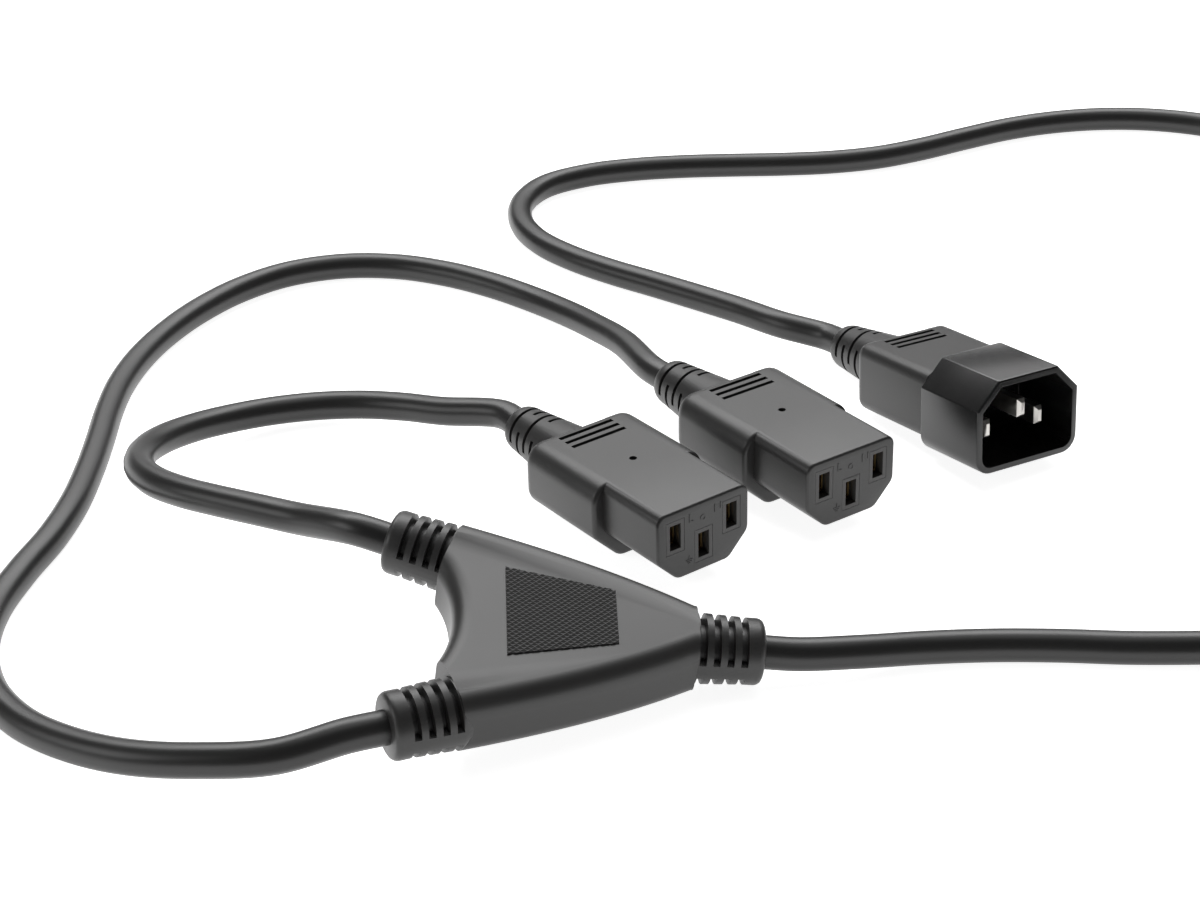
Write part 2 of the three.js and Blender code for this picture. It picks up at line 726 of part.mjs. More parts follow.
function makePlug(at) {
  const group = new THREE.Group();
  group.rotation.order = "ZYX";
  group.rotation.set(rad(at.roll), rad(at.pitch), rad(at.heading));
  const blockBack = -SHROUD_L - BLOCK_L;
  const blockLow = PLUG_PIN_Z - PIN_H / 2 - 1;
  const blockHigh = blockLow + BLOCK_H;

  const lip = common(
    alongX(octagonShape(SHROUD_WALL), -SHROUD_L, 0, 5),
    join(
      alongX(octagonShape(SHROUD_WALL), -SHROUD_L, -LIP_BEVEL, 5),
      alongX(octagonShape(SHROUD_WALL - LIP_BEVEL), -LIP_BEVEL - 0.5, 0, 5),
    ),
  );
  const pinHoles = POLES.map((pole) => {
    const { y, z } = plugPin[pole];
    const w = PIN_T / 2 + GAP;
    const h = PIN_H / 2 + GAP;
    return box(-SHROUD_L - PIN_ROOT - GAP, 1, y - w, y + w, z - h, z + h);
  });
  const tailHoles = POLES.map((pole) => {
    const { y, z } = plugPin[pole];
    const w = TAIL_T / 2 + GAP;
    const h = TAIL_H / 2 + GAP;
    return box(blockBack - 1, -SHROUD_L, y - w, y + w, z - h, z + h);
  });
  const shroud = cut(
    join(lip, box(blockBack, -SHROUD_L + 1, -BLOCK_W / 2, BLOCK_W / 2, blockLow, blockHigh)),
    alongX(octagonShape(0), -CAVITY_DEPTH, 1, 4),
    ...pinHoles,
    ...tailHoles,
  );
  piece(group, "plug_shroud", shroud, glossPlastic);

  const tailX = blockBack - GAP - 1;
  const crimpX = tailX - CRIMP_L;
  for (const pole of POLES) {
    const { y, z, recess } = plugPin[pole];
    const root = -SHROUD_L - PIN_ROOT;
    const tail = box(tailX - 0.5, root + 0.5, y - TAIL_T / 2, y + TAIL_T / 2, z - TAIL_H / 2, z + TAIL_H / 2);
    const pin = join(blade(root, -recess, y, z), tail, crimpBarrel(crimpX, tailX, y, z, CRIMP_D / 2));
    piece(group, `plug_${pole}_pin`, pin, nickel);
  }

  const paths = connectorCores(plugPin, crimpX, PLUG_EXIT_X, PLUG_AXIS_Z);
  const rearShape = housingShape(REAR_W / 2, REAR_BOTTOM, REAR_TOP, {
    bottomR: REAR_BOTTOM_R,
    topR: REAR_TOP_R,
  });
  const rear = common(
    alongX(rearShape, PLUG_REAR, -SHROUD_L - GAP, 6),
    roundedRear(
      PLUG_REAR,
      -SHROUD_L - GAP,
      REAR_W / 2,
      REAR_BOTTOM,
      REAR_TOP,
      COLLAR_REAR_R,
      COLLAR_REAR_TOP_R,
    ),
  );
  const pockets = POLES.map((pole) => {
    const { y, z } = plugPin[pole];
    return crimpBarrel(crimpX - POCKET_END, blockBack + 0.5, y, z, CRIMP_D / 2 + GAP + 0.15, 10);
  });
  const body = cut(
    join(rear, connectorSleeve(PLUG_REAR, PLUG_AXIS_Z)),
    ...topDetails(PLUG_REAR, REAR_TOP),
    box(
      blockBack - GAP,
      0,
      -BLOCK_W / 2 - GAP,
      BLOCK_W / 2 + GAP,
      blockLow - GAP,
      blockHigh + GAP,
    ),
    ...pockets,
    ...coreChannels(paths, PLUG_EXIT_X, PLUG_AXIS_Z),
  );
  piece(group, "plug_body", body, overmould);
  for (const pole of POLES) {
    piece(group, `plug_${pole}_core`, coreTube(paths[pole], CORE_R), coreColours[pole]);
  }
  // it lies on its sleeve's end and on the rear edge of its shroud
  group.updateMatrixWorld(true);
  const bounds = new THREE.Box3().setFromObject(group, true);
  group.position.set(at.x, at.y, -bounds.min.z);
  return group;
}

// Places on the Y moulding, in its own frame: the trunk exit is the origin and the legs run towards -X
const legTurn = rad(180 - LEG_ANGLE);
const legDir = new THREE.Vector3(Math.cos(legTurn), Math.sin(legTurn), 0);
const LEG_EXIT = new THREE.Vector3(-Y_LENGTH, LEG_OUT, 0);
const LEG_ROOT = LEG_EXIT.clone().addScaledVector(legDir, -RIB_LENGTH);
const BODY_END = -RIB_LENGTH;

// Half of the outline seen from above, from the trunk end round to the middle of the hollow
function bodyOutline() {
  const across = new THREE.Vector3(-legDir.y, legDir.x, 0).multiplyScalar(-1);
  const half = RIB_R;
  const outer = LEG_ROOT.clone().addScaledVector(across, half - SHOULDER_IN);
  const inner = SADDLE_END;
  const saddleX = inner.x + SADDLE_R - Math.sqrt(SADDLE_R ** 2 - inner.y ** 2);
  const sweep = Math.asin(inner.y / SADDLE_R);
  const centreX = saddleX - SADDLE_R;
  const s = new THREE.Shape();
  s.moveTo(BODY_END, -half);
  s.bezierCurveTo(
    BODY_END - 13,
    -half - 7.6,
    outer.x + 15,
    -outer.y + 5.0,
    outer.x,
    -outer.y,
  );
  s.lineTo(inner.x, -inner.y);
  for (let i = 1; i < 10; i++) {
    const a = -sweep + (2 * sweep * i) / 10;
    s.lineTo(centreX + SADDLE_R * Math.cos(a), SADDLE_R * Math.sin(a));
  }
  s.lineTo(inner.x, inner.y);
  s.lineTo(outer.x, outer.y);
  s.bezierCurveTo(outer.x + 15, outer.y - 5.0, BODY_END - 13, half + 7.6, BODY_END, half);
  s.closePath();
  return s;
}

// A ribbed sleeve along +X with its exit at the origin
function ribbedSleeve() {
  let sleeve = turned(
    [
      [0, -RIB_LENGTH - 2],
      [RIB_R, -RIB_LENGTH - 2],
      [RIB_R, -RIB_LENGTH],
      [RIB_TIP_R, -RIB_FLANGE],
      [RIB_TIP_R, -0.9],
      [RIB_TIP_R - 0.9, 0],
      [0, 0],
    ],
    24,
  );
  for (let i = 0; i < RIB_SLOTS; i++) {
    const x = -RIB_FLANGE - RIB_SLOT_W / 2 - i * RIB_SLOT_PITCH;
    for (const middle of [90, 270]) {
      const slot = arcSector(
        RIB_TIP_R - RIB_SLOT_DEPTH,
        RIB_R + 1,
        x - RIB_SLOT_W / 2,
        x + RIB_SLOT_W / 2,
        middle,
        RIB_SLOT_SPAN,
        11,
      );
      sleeve = cut(sleeve, slot);
    }
  }
  return sleeve;
}

const legTransform = (side) =>
  new THREE.Matrix4()
    .makeTranslation(LEG_EXIT.x, side * LEG_EXIT.y, 0)
    .multiply(new THREE.Matrix4().makeRotationZ(side * legTurn));

const moved = (solid, matrix) => {
  const geometry = geometryOf(solid);
  geometry.applyMatrix4(matrix);
  return solidOf(geometry);
};

const jointY = { line: -JOINT_PITCH, neutral: JOINT_PITCH, earth: 0 };

// Core paths of the Y: one from the trunk to the front of each crimp, two from the legs to its back
function yCorePaths() {
  const paths = { trunk: {}, front: {}, rear: {} };
  for (const pole of POLES) {
    const y = jointY[pole];
    paths.trunk[pole] = [
      new THREE.Vector3(JOINT_X + JOINT_L / 2 + GAP, y, 0),
      new THREE.Vector3(JOINT_X + JOINT_L / 2 + 2.5, y, 0),
      inSleeve(pole, BODY_END - 2),
      inSleeve(pole, BODY_END + 4),
      inSleeve(pole, 0),
    ];
    for (const [cord, side] of [
      ["front", 1],
      ["rear", -1],
    ]) {
      const z = side * JOINT_PAIR;
      const place = (x, turn = 0) =>
        inSleeve(pole, x, 0, -1)
          .applyAxisAngle(AXIS_X, turn)
          .applyMatrix4(legTransform(side));
      paths[cord][pole] = [
        new THREE.Vector3(JOINT_X - JOINT_L / 2 - GAP, y, z),
        new THREE.Vector3(JOINT_X - JOINT_L / 2 - 2, y, z),
        new THREE.Vector3(JOINT_X - JOINT_L / 2 - 8, y * 0.9 + side * 5.4, z),
        new THREE.Vector3(JOINT_X - JOINT_L / 2 - 14, y * 0.78 + side * 11.6, z * 0.7 + CORE_LIFT[pole]),
        place(-RIB_LENGTH - 1),
        place(-RIB_LENGTH + 4),
        place(0),
      ];
    }
  }
  return paths;
}

function makeY() {
  const group = new THREE.Group();
  const plate = new THREE.ExtrudeGeometry(bodyOutline(), {
    depth: BODY_T - 2 * BODY_EDGE_H,
    bevelEnabled: true,
    bevelThickness: BODY_EDGE_H,
    bevelSize: BODY_EDGE,
    bevelOffset: -BODY_EDGE,
    bevelSegments: 3,
    curveSegments: 8,
  });
  plate.translate(0, 0, -BODY_T / 2 + BODY_EDGE_H);
  const sleeve = ribbedSleeve();
  const patch = new THREE.Shape();
  patch.moveTo(PATCH.start, -PATCH.far);
  patch.lineTo(PATCH.end, -PATCH.near);
  patch.lineTo(PATCH.end, PATCH.near);
  patch.lineTo(PATCH.start, PATCH.far);
  patch.closePath();
  const solid = join(
    solidOf(plate),
    sleeve,
    moved(sleeve, legTransform(1)),
    moved(sleeve, legTransform(-1)),
    alongZ(patch, BODY_T / 2 - 1, BODY_T / 2 + PATCH_RISE),
  );

  const paths = yCorePaths();
  const bore = crimpBarrel(-RIB_LENGTH - 1, 1, 0, 0, BORE_R, 16);
  const channels = [bore, moved(bore, legTransform(1)), moved(bore, legTransform(-1))];
  for (const cord of ["trunk", "front", "rear"]) {
    for (const pole of POLES) {
      channels.push(coreTube(paths[cord][pole], CHANNEL_R));
    }
  }
  for (const pole of POLES) {
    channels.push(
      crimpBarrel(
        JOINT_X - JOINT_L / 2 - POCKET_END,
        JOINT_X + JOINT_L / 2 + POCKET_END,
        jointY[pole],
        0,
        JOINT_D / 2 + GAP + 0.1,
        10,
      ),
    );
  }
  piece(group, "y_moulding", cut(solid, ...channels), overmould);
  for (const pole of POLES) {
    const joint = crimpBarrel(
      JOINT_X - JOINT_L / 2,
      JOINT_X + JOINT_L / 2,
      jointY[pole],
      0,
      JOINT_D / 2,
    );
    piece(group, `y_${pole}_crimp`, joint, nickel);
  }
  for (const cord of ["trunk", "front", "rear"]) {
    for (const pole of POLES) {
      piece(group, `y_${cord}_${pole}_core`, coreTube(paths[cord][pole], CORE_R), coreColours[pole]);
    }
  }

  group.rotation.order = "ZYX";
  group.rotation.set(rad(Y_ROLL), rad(Y_PITCH), rad(Y_YAW));
  group.updateMatrixWorld(true);
  const bounds = new THREE.Box3().setFromObject(group.getObjectByName("y_moulding"), true);
  group.position.set(-(bounds.min.x + bounds.max.x) / 2, -(bounds.min.y + bounds.max.y) / 2, -bounds.min.z);
  group.updateMatrixWorld(true);
  return group;
}

// Exits: where a cord leaves, and which way
function exitOf(group, point, direction) {
  group.updateMatrixWorld(true);
  return {
    at: point.clone().applyMatrix4(group.matrixWorld),
    along: direction.clone().transformDirection(group.matrixWorld),
  };
}

const leadFrom = (exit, far) => exit.at.clone().addScaledVector(exit.along, far);

function cordPoints(start, route, end) {
  const points = route.map(([x, y, z]) => new THREE.Vector3(x, y, z));
  if (start) points.unshift(leadFrom(start, GAP), leadFrom(start, LEAD_OUT));
  if (end) points.push(leadFrom(end, LEAD_OUT), leadFrom(end, GAP));
  return points;
}

function cordSolid(points) {
  const path = curve(points);
  const steps = Math.max(4, Math.round(path.getLength() / CORD_STEP));
  return tube(path, CORD_R, CORD_SIDES, steps);
}

const splitter = new THREE.Group();
const yGroup = makeY();
const socketA = makeSocket("socket_a", SOCKET_A_AT);
const socketB = makeSocket("socket_b", SOCKET_B_AT);
const plug = makePlug(PLUG_AT);
splitter.add(yGroup, socketA, socketB, plug);

const backwards = AXIS_X.clone().negate();
const trunkExit = exitOf(yGroup, new THREE.Vector3(0, 0, 0), AXIS_X);
const frontExit = exitOf(yGroup, LEG_EXIT, legDir);
const rearExit = exitOf(
  yGroup,
  new THREE.Vector3(LEG_EXIT.x, -LEG_EXIT.y, 0),
  new THREE.Vector3(legDir.x, -legDir.y, 0),
);
const socketExit = new THREE.Vector3(SOCKET_EXIT_X, 0, SOCKET_AXIS_Z);
const socketAExit = exitOf(socketA, socketExit, backwards);
const socketBExit = exitOf(socketB, socketExit, backwards);
const plugExit = exitOf(plug, new THREE.Vector3(PLUG_EXIT_X, 0, PLUG_AXIS_Z), backwards);

piece(splitter, "front_branch_cord", cordSolid(cordPoints(frontExit, FRONT_ROUTE, socketAExit)), sheath);
piece(splitter, "rear_branch_cord", cordSolid(cordPoints(rearExit, REAR_ROUTE, socketBExit)), sheath);
piece(splitter, "trunk_cord_near", cordSolid(cordPoints(trunkExit, TRUNK_NEAR_ROUTE)), sheath);
piece(splitter, "trunk_cord_far", cordSolid(cordPoints(null, TRUNK_FAR_ROUTE, plugExit)), sheath);

// The coil's outer shape is a ring, and a tie goes round it at one place
const ringHalf = (COIL_TURNS_ACROSS * CORD_D) / 2 + 0.2;
const ringLow = COIL_RISE;
const ringHigh = COIL_RISE + COIL_LAYERS * CORD_D;
const ringEdge = 2.2;
const ringProfile = [
  [COIL_R - ringHalf + ringEdge, ringLow],
  [COIL_R + ringHalf - ringEdge, ringLow],
  [COIL_R + ringHalf, ringLow + ringEdge],
  [COIL_R + ringHalf, ringHigh - ringEdge],
  [COIL_R + ringHalf - ringEdge, ringHigh],
  [COIL_R - ringHalf + ringEdge, ringHigh],
  [COIL_R - ringHalf, ringHigh - ringEdge],
  [COIL_R - ringHalf, ringLow + ringEdge],
  [COIL_R - ringHalf + ringEdge, ringLow],
].map(([r, z]) => new THREE.Vector2(r, z));
const ring = new THREE.LatheGeometry(ringProfile, 40);
ring.rotateX(Math.PI / 2);
ring.translate(COIL_AT.x, COIL_AT.y, 0);
const ringSolid = solidOf(ring);
piece(splitter, "trunk_coil", ringSolid, sheath);

const tieOuter = new THREE.Shape();
const tieHalf = ringHalf + GAP + TIE_T + 0.5;
tieOuter.moveTo(-tieHalf, ringLow - GAP - TIE_T);
tieOuter.lineTo(tieHalf, ringLow - GAP - TIE_T);
tieOuter.lineTo(tieHalf, ringHigh + GAP + TIE_T);
tieOuter.lineTo(-tieHalf, ringHigh + GAP + TIE_T);
tieOuter.closePath();
const tieInner = new THREE.Path();
tieInner.moveTo(-tieHalf + TIE_T, ringLow - GAP);
tieInner.lineTo(-tieHalf + TIE_T, ringHigh + GAP);
tieInner.lineTo(tieHalf - TIE_T, ringHigh + GAP);
tieInner.lineTo(tieHalf - TIE_T, ringLow - GAP);
tieInner.closePath();
tieOuter.holes.push(tieInner);
const tie = new THREE.ExtrudeGeometry(tieOuter, { depth: TIE_W, bevelEnabled: false });
tie.translate(0, 0, -TIE_W / 2);
tie.rotateX(Math.PI / 2);
tie.translate(COIL_R, 0, 0);
tie.rotateZ(rad(TIE_ANGLE));
tie.translate(COIL_AT.x, COIL_AT.y, 0);
piece(splitter, "coil_tie", tie, tiePlastic);

export default splitter;
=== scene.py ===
# A mains cord splitter on a pale floor: a Y moulding, two sockets, a shrouded plug and their cords.
import math

import bmesh
import bpy
from mathutils import Euler, Matrix, Vector
from mathutils.geometry import interpolate_bezier


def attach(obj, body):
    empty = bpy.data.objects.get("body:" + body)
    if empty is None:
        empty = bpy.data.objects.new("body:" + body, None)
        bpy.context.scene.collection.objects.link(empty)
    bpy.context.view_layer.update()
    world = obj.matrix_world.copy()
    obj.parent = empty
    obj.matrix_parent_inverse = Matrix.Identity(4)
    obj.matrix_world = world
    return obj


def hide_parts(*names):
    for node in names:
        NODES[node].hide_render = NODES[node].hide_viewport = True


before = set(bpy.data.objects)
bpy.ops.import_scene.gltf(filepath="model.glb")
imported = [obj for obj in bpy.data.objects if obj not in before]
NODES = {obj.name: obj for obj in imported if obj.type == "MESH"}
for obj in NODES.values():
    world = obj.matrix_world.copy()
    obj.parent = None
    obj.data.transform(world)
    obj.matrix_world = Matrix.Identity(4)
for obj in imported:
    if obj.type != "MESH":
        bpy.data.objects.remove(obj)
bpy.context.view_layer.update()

MM = 0.001

# Camera

CAMERA_AT = (6.17, -364.28, 247.805)
CAMERA_TILT = 28.404
CAMERA_ROLL = 1.723


def make_camera():
    tilt = math.radians(CAMERA_TILT)
    roll = math.radians(CAMERA_ROLL)
    right = Vector((1, 0, 0))
    up = Vector((0, math.sin(tilt), math.cos(tilt)))
    back = Vector((0, -math.cos(tilt), math.sin(tilt)))
    turned_right = right * math.cos(roll) - up * math.sin(roll)
    turned_up = right * math.sin(roll) + up * math.cos(roll)
    lens = bpy.data.cameras.new("photo_camera")
    lens.lens = 72
    lens.sensor_width = 36
    lens.clip_start = 0.01
    camera = bpy.data.objects.new("photo_camera", lens)
    bpy.context.scene.collection.objects.link(camera)
    turn = Matrix((turned_right, turned_up, back)).transposed().to_4x4()
    camera.matrix_world = Matrix.Translation(Vector(CAMERA_AT) * MM) @ turn
    bpy.context.scene.camera = camera


make_camera()

# Where each piece stands: its own frame in millimetres, turned and set in the part's frame

TRUNK_EXIT = (34.462, 3.54, 5.948)
Y_TURN = (11.2, 8.1, 3.15)
SOCKET_A_AT = (25.87, 39.12, 0)
SOCKET_A_TURN = (0, 0, -54.1)
SOCKET_B_AT = (56.57, 57.62, 0)
SOCKET_B_TURN = (0, 0, -56.1)
PLUG_AT = (95.66, 76.3, 3.268)
PLUG_TURN = (-2.77, -6.1, -59.62)


def placed(at, turn):
    """The matrix from a piece's own millimetres to the part's metres."""
    angles = Euler([math.radians(a) for a in turn], "XYZ")
    return Matrix.Scale(MM, 4) @ Matrix.Translation(at) @ angles.to_matrix().to_4x4()


Y_PLACE = placed(TRUNK_EXIT, Y_TURN)
SOCKET_A_PLACE = placed(SOCKET_A_AT, SOCKET_A_TURN)
SOCKET_B_PLACE = placed(SOCKET_B_AT, SOCKET_B_TURN)
PLUG_PLACE = placed(PLUG_AT, PLUG_TURN)

# Cords

CORD_D = 6.4
LEG_EXIT = Vector((-68, 24.2, 0))
LEG_ANGLE = 20.5
SOCKET_EXIT = Vector((-61.9, 0, 8.9))
PLUG_EXIT = Vector((-63.9, 0, 8.5))
LEAD_IN = 3
LEAD_CLEAR = 0.3
LEAD_OUT = 7

FRONT_ROUTE = [
    (-52.2, 35.9, 18.4), (-60.7, 41.3, 17.6), (-69.1, 46.8, 16.7), (-77.2, 52.9, 15.6),
    (-84.1, 60.2, 14.3), (-88.5, 69.1, 12.8), (-89.3, 79.0, 10.9), (-86.8, 88.6, 8.8),
    (-81.8, 97.1, 6.8), (-74.8, 104.2, 5.1), (-66.1, 109.2, 4.1), (-56.3, 111.5, 3.8),
    (-46.2, 110.7, 4.2), (-36.7, 107.3, 5.1), (-28.0, 102.2, 6.4),
]
REAR_ROUTE = [
    (-50.3, -29.9, 9.8), (-63.9, -28.1, 8.1), (-77.0, -23.9, 6.3), (-88.8, -16.9, 4.6),
    (-99.2, -7.9, 3.5), (-107.0, 3.5, 3.2), (-111.1, 16.7, 3.2), (-111.6, 30.5, 3.2),
    (-109.2, 44.1, 3.2), (-105.7, 57.5, 3.2), (-103.6, 71.2, 3.2), (-102.9, 85.0, 3.2),
    (-102.9, 98.9, 3.2), (-103.2, 112.7, 3.2), (-102.6, 126.6, 3.2), (-100.2, 140.2, 3.2),
    (-95.8, 153.4, 3.2), (-89.6, 165.7, 3.2), (-81.3, 176.8, 3.2), (-70.5, 185.3, 3.2),
    (-57.3, 189.2, 3.2), (-43.6, 188.0, 3.2), (-30.8, 182.7, 3.2), (-19.3, 175.0, 3.2),
    (-9.0, 165.7, 3.3), (-0.4, 154.9, 4.2), (6.4, 143.0, 5.9), (12.3, 130.6, 7.8),
]
TRUNK_NEAR_ROUTE = [
    (52.5, 5.1, 4.3), (64.9, 7.2, 3.4), (77.5, 7.6, 3.2), (90.0, 6.8, 3.2),
    (102.6, 5.4, 3.2), (118.0, 4.7, 3.2), (134.0, 4.1, 3.7), (151.2, 3.9, 4.4),
]
TRUNK_FAR_ROUTE = [
    (210.9, 70.3, 9.9), (211.0, 87.5, 7.2), (211.1, 101.2, 5.1), (211.2, 115.0, 3.9),
    (211.4, 128.8, 3.4), (211.5, 142.7, 3.2), (211.5, 156.5, 3.2), (211.5, 170.4, 3.2),
    (211.2, 184.2, 3.2), (210.6, 198.0, 3.2), (209.4, 211.8, 3.2), (207.0, 225.5, 3.2),
    (202.9, 238.7, 3.2), (196.7, 251.0, 3.2), (188.0, 261.7, 3.2), (176.7, 269.7, 3.2),
    (163.8, 274.5, 3.2), (150.1, 276.0, 3.2), (136.3, 274.4, 3.2), (123.2, 270.3, 3.2),
    (110.7, 264.2, 3.2), (96.7, 256.8, 3.2), (84.3, 251.8, 3.2), (71.1, 249.4, 3.2),
    (57.8, 249.0, 3.2), (44.4, 249.4, 3.2), (31.0, 249.5, 3.2), (17.7, 248.4, 3.2),
    (4.7, 245.1, 3.2), (-6.5, 238.0, 3.2), (-12.4, 226.2, 3.2), (-12.3, 212.9, 3.2),
    (-7.5, 200.5, 3.2), (0.6, 190.0, 3.2), (10.4, 180.8, 3.2), (20.7, 172.2, 3.4),
    (30.8, 163.5, 3.6), (40.5, 154.2, 4.1), (49.6, 144.4, 4.7),
]

COIL_AT = Vector((175.2, 42.8))
COIL_OUTER = 38.9
COIL_INNER = 32.5
COIL_MIDDLE = 35.7
COIL_FLOOR_Z = 4.4
COIL_TOP_Z = 10.95
COIL_START, COIL_END, COIL_STEP = -90, 721, 22
GO_IN_AT, GO_IN_OVER = 200, 70
CLIMB_AT, CLIMB_OVER, CLIMB_ROUND = 500, 60, 60
LEVEL_AT, LEVEL_OVER = 545, 50


def eased(t):
    t = min(max(t, 0), 1)
    return t * t * (3 - 2 * t)


def coil_point(angle):
    """Round on the outside, then inside that on the floor, then up on top of the first turn."""
    inward = eased((angle - GO_IN_AT) / GO_IN_OVER)
    radius = COIL_OUTER + (COIL_INNER - COIL_OUTER) * inward
    height = COIL_FLOOR_Z
    if angle > CLIMB_AT:
        climb = math.radians(CLIMB_ROUND * min((angle - CLIMB_AT) / CLIMB_OVER, 1))
        radius = COIL_OUTER - CORD_D * math.cos(climb)
        height = COIL_FLOOR_Z + CORD_D * math.sin(climb)
        height += (COIL_TOP_Z - height) * eased((angle - LEVEL_AT) / LEVEL_OVER)
    at = math.radians(angle)
    return (COIL_AT.x + radius * math.cos(at), COIL_AT.y + radius * math.sin(at), height)


COIL_ROUTE = [coil_point(angle) for angle in range(COIL_START, COIL_END, COIL_STEP)]
COIL_ROUTE += [(210.9, 50.0, COIL_TOP_Z), (210.9, 60.0, 10.8)]


def exit_points(place, at, along):
    """Points on the straight run of a cord, from inside its sleeve to clear of it."""
    return [place @ (at + along * far) / MM for far in (-LEAD_IN, LEAD_CLEAR, LEAD_OUT)]


def smooth_line(points, step=1.6):
    """A centripetal curve through the points, sampled at about equal steps."""
    points = [Vector(p) for p in points]
    first = points[0] * 2 - points[1]
    last = points[-1] * 2 - points[-2]
    ends = [first, *points, last]
    line = []
    for p0, p1, p2, p3 in zip(ends, ends[1:], ends[2:], ends[3:]):
        t1 = (p1 - p0).length ** 0.5
        t2 = t1 + (p2 - p1).length ** 0.5
        t3 = t2 + (p3 - p2).length ** 0.5
        count = max(2, round((p2 - p1).length / step))
        for i in range(count):
            t = t1 + (t2 - t1) * i / count
            a1 = p0.lerp(p1, t / t1)
            a2 = p1.lerp(p2, (t - t1) / (t2 - t1))
            a3 = p2.lerp(p3, (t - t2) / (t3 - t2))
            b1 = a1.lerp(a2, t / t2)
            b2 = a2.lerp(a3, (t - t1) / (t3 - t1))
            line.append(b1.lerp(b2, (t - t1) / (t2 - t1)))
    return [*line, points[-1]]


def length_of(line):
    return sum((b - a).length for a, b in zip(line, line[1:]))


def make_cord(name, points):
    line = smooth_line(points)
    curve = bpy.data.curves.new(name, "CURVE")
    curve.dimensions = "3D"
    spline = curve.splines.new("POLY")
    spline.points.add(len(line) - 1)
    for knot, p in zip(spline.points, line):
        knot.co = (*(p * MM), 1)
    spline.use_smooth = True
    curve.bevel_depth = CORD_D / 2 * MM
    curve.bevel_resolution = 6
    curve.use_fill_caps = True
    cord = bpy.data.objects.new(name, curve)
    bpy.context.scene.collection.objects.link(cord)
    return cord, length_of(line)


leg_turn = math.radians(180 - LEG_ANGLE)
front_way = Vector((math.cos(leg_turn), math.sin(leg_turn), 0))
rear_way = Vector((front_way.x, -front_way.y, 0))
rear_leg_exit = Vector((LEG_EXIT.x, -LEG_EXIT.y, 0))
BACKWARDS = Vector((-1, 0, 0))
FORWARDS = Vector((1, 0, 0))

front_start = exit_points(Y_PLACE, LEG_EXIT, front_way)
rear_start = exit_points(Y_PLACE, rear_leg_exit, rear_way)
trunk_start = exit_points(Y_PLACE, Vector((0, 0, 0)), FORWARDS)
front_end = exit_points(SOCKET_A_PLACE, SOCKET_EXIT, BACKWARDS)[::-1]
rear_end = exit_points(SOCKET_B_PLACE, SOCKET_EXIT, BACKWARDS)[::-1]
trunk_end = exit_points(PLUG_PLACE, PLUG_EXIT, BACKWARDS)[::-1]

front_cord, front_length = make_cord("front_branch", front_start + FRONT_ROUTE + front_end)
rear_cord, rear_length = make_cord("rear_branch", rear_start + REAR_ROUTE + rear_end)
trunk_points = trunk_start + TRUNK_NEAR_ROUTE + COIL_ROUTE + TRUNK_FAR_ROUTE + trunk_end
trunk_cord, trunk_length = make_cord("trunk_cord", trunk_points)

# Mesh shapes, in a piece's own millimetres


def rounded(corners, sharpest=10):
    """An outline from corners (across, up, radius), each turned into an arc."""
    points = []
    count = len(corners)
    for i, (across, up, radius) in enumerate(corners):
        here = Vector((across, up))
        if not radius:
            points.append(here)
            continue
        before = (Vector(corners[i - 1][:2]) - here).normalized()
        after = (Vector(corners[(i + 1) % count][:2]) - here).normalized()
        half = before.angle(after) / 2
        centre = here + (before + after).normalized() * radius / math.sin(half)
        start = here + before * radius / math.tan(half) - centre
        sweep = start.angle_signed(here + after * radius / math.tan(half) - centre)
        steps = max(2, math.ceil(abs(math.degrees(sweep)) / sharpest))
        for k in range(steps + 1):
            points.append(centre + Matrix.Rotation(-sweep * k / steps, 2) @ start)
    return points


def prism(outline, low, high, low_round=0, high_round=0, steps=6):
    """An outline run from low to high, with the edges of its two ends rounded over."""
    bm = bmesh.new()
    bottom = bm.faces.new([bm.verts.new((*p, low + low_round)) for p in outline])
    bottom.normal_update()
    grown = bmesh.ops.extrude_face_region(bm, geom=[bottom])["geom"]
    risen = [v for v in grown if isinstance(v, bmesh.types.BMVert)]
    rise = high - high_round - low - low_round
    bmesh.ops.translate(bm, verts=risen, vec=(0, 0, rise))
    bmesh.ops.recalc_face_normals(bm, faces=bm.faces)
    caps = sorted(bm.faces, key=lambda f: f.normal.z)
    for cap, radius in ((caps[0], low_round), (caps[-1], high_round)):
        for k in range(steps if radius else 0):
            a = math.pi / 2 * k / steps
            b = math.pi / 2 * (k + 1) / steps
            bmesh.ops.inset_region(
                bm,
                faces=[cap],
                use_boundary=True,
                use_even_offset=True,
                thickness=radius * (math.cos(a) - math.cos(b)),
                depth=radius * (math.sin(b) - math.sin(a)),
            )
    return bm


MERGE = 1e-4  # corners nearer than this are one
SHARP = math.radians(38)
LENGTHWISE = Matrix(((0, 0, 1, 0), (1, 0, 0, 0), (0, 1, 0, 0), (0, 0, 0, 1)))


def along_x(outline, low, high, low_round=0, high_round=0, steps=6):
    """A prism whose outline is drawn across and up, and which runs along X."""
    bm = prism(outline, low, high, low_round, high_round, steps)
    bm.transform(LENGTHWISE)
    return bm


def turned(profile, steps=48):
    """Pairs of (radius, x) spun round the X axis."""
    bm = bmesh.new()
    verts = [bm.verts.new((x, radius, 0)) for radius, x in profile]
    edges = [bm.edges.new(pair) for pair in zip(verts, verts[1:])]
    bmesh.ops.spin(
        bm,
        geom=verts + edges,
        cent=(0, 0, 0),
        axis=(1, 0, 0),
        angle=2 * math.pi,
        steps=steps,
        use_merge=True,
    )
    bmesh.ops.remove_doubles(bm, verts=bm.verts, dist=MERGE)
    bmesh.ops.recalc_face_normals(bm, faces=bm.faces)
    return bm


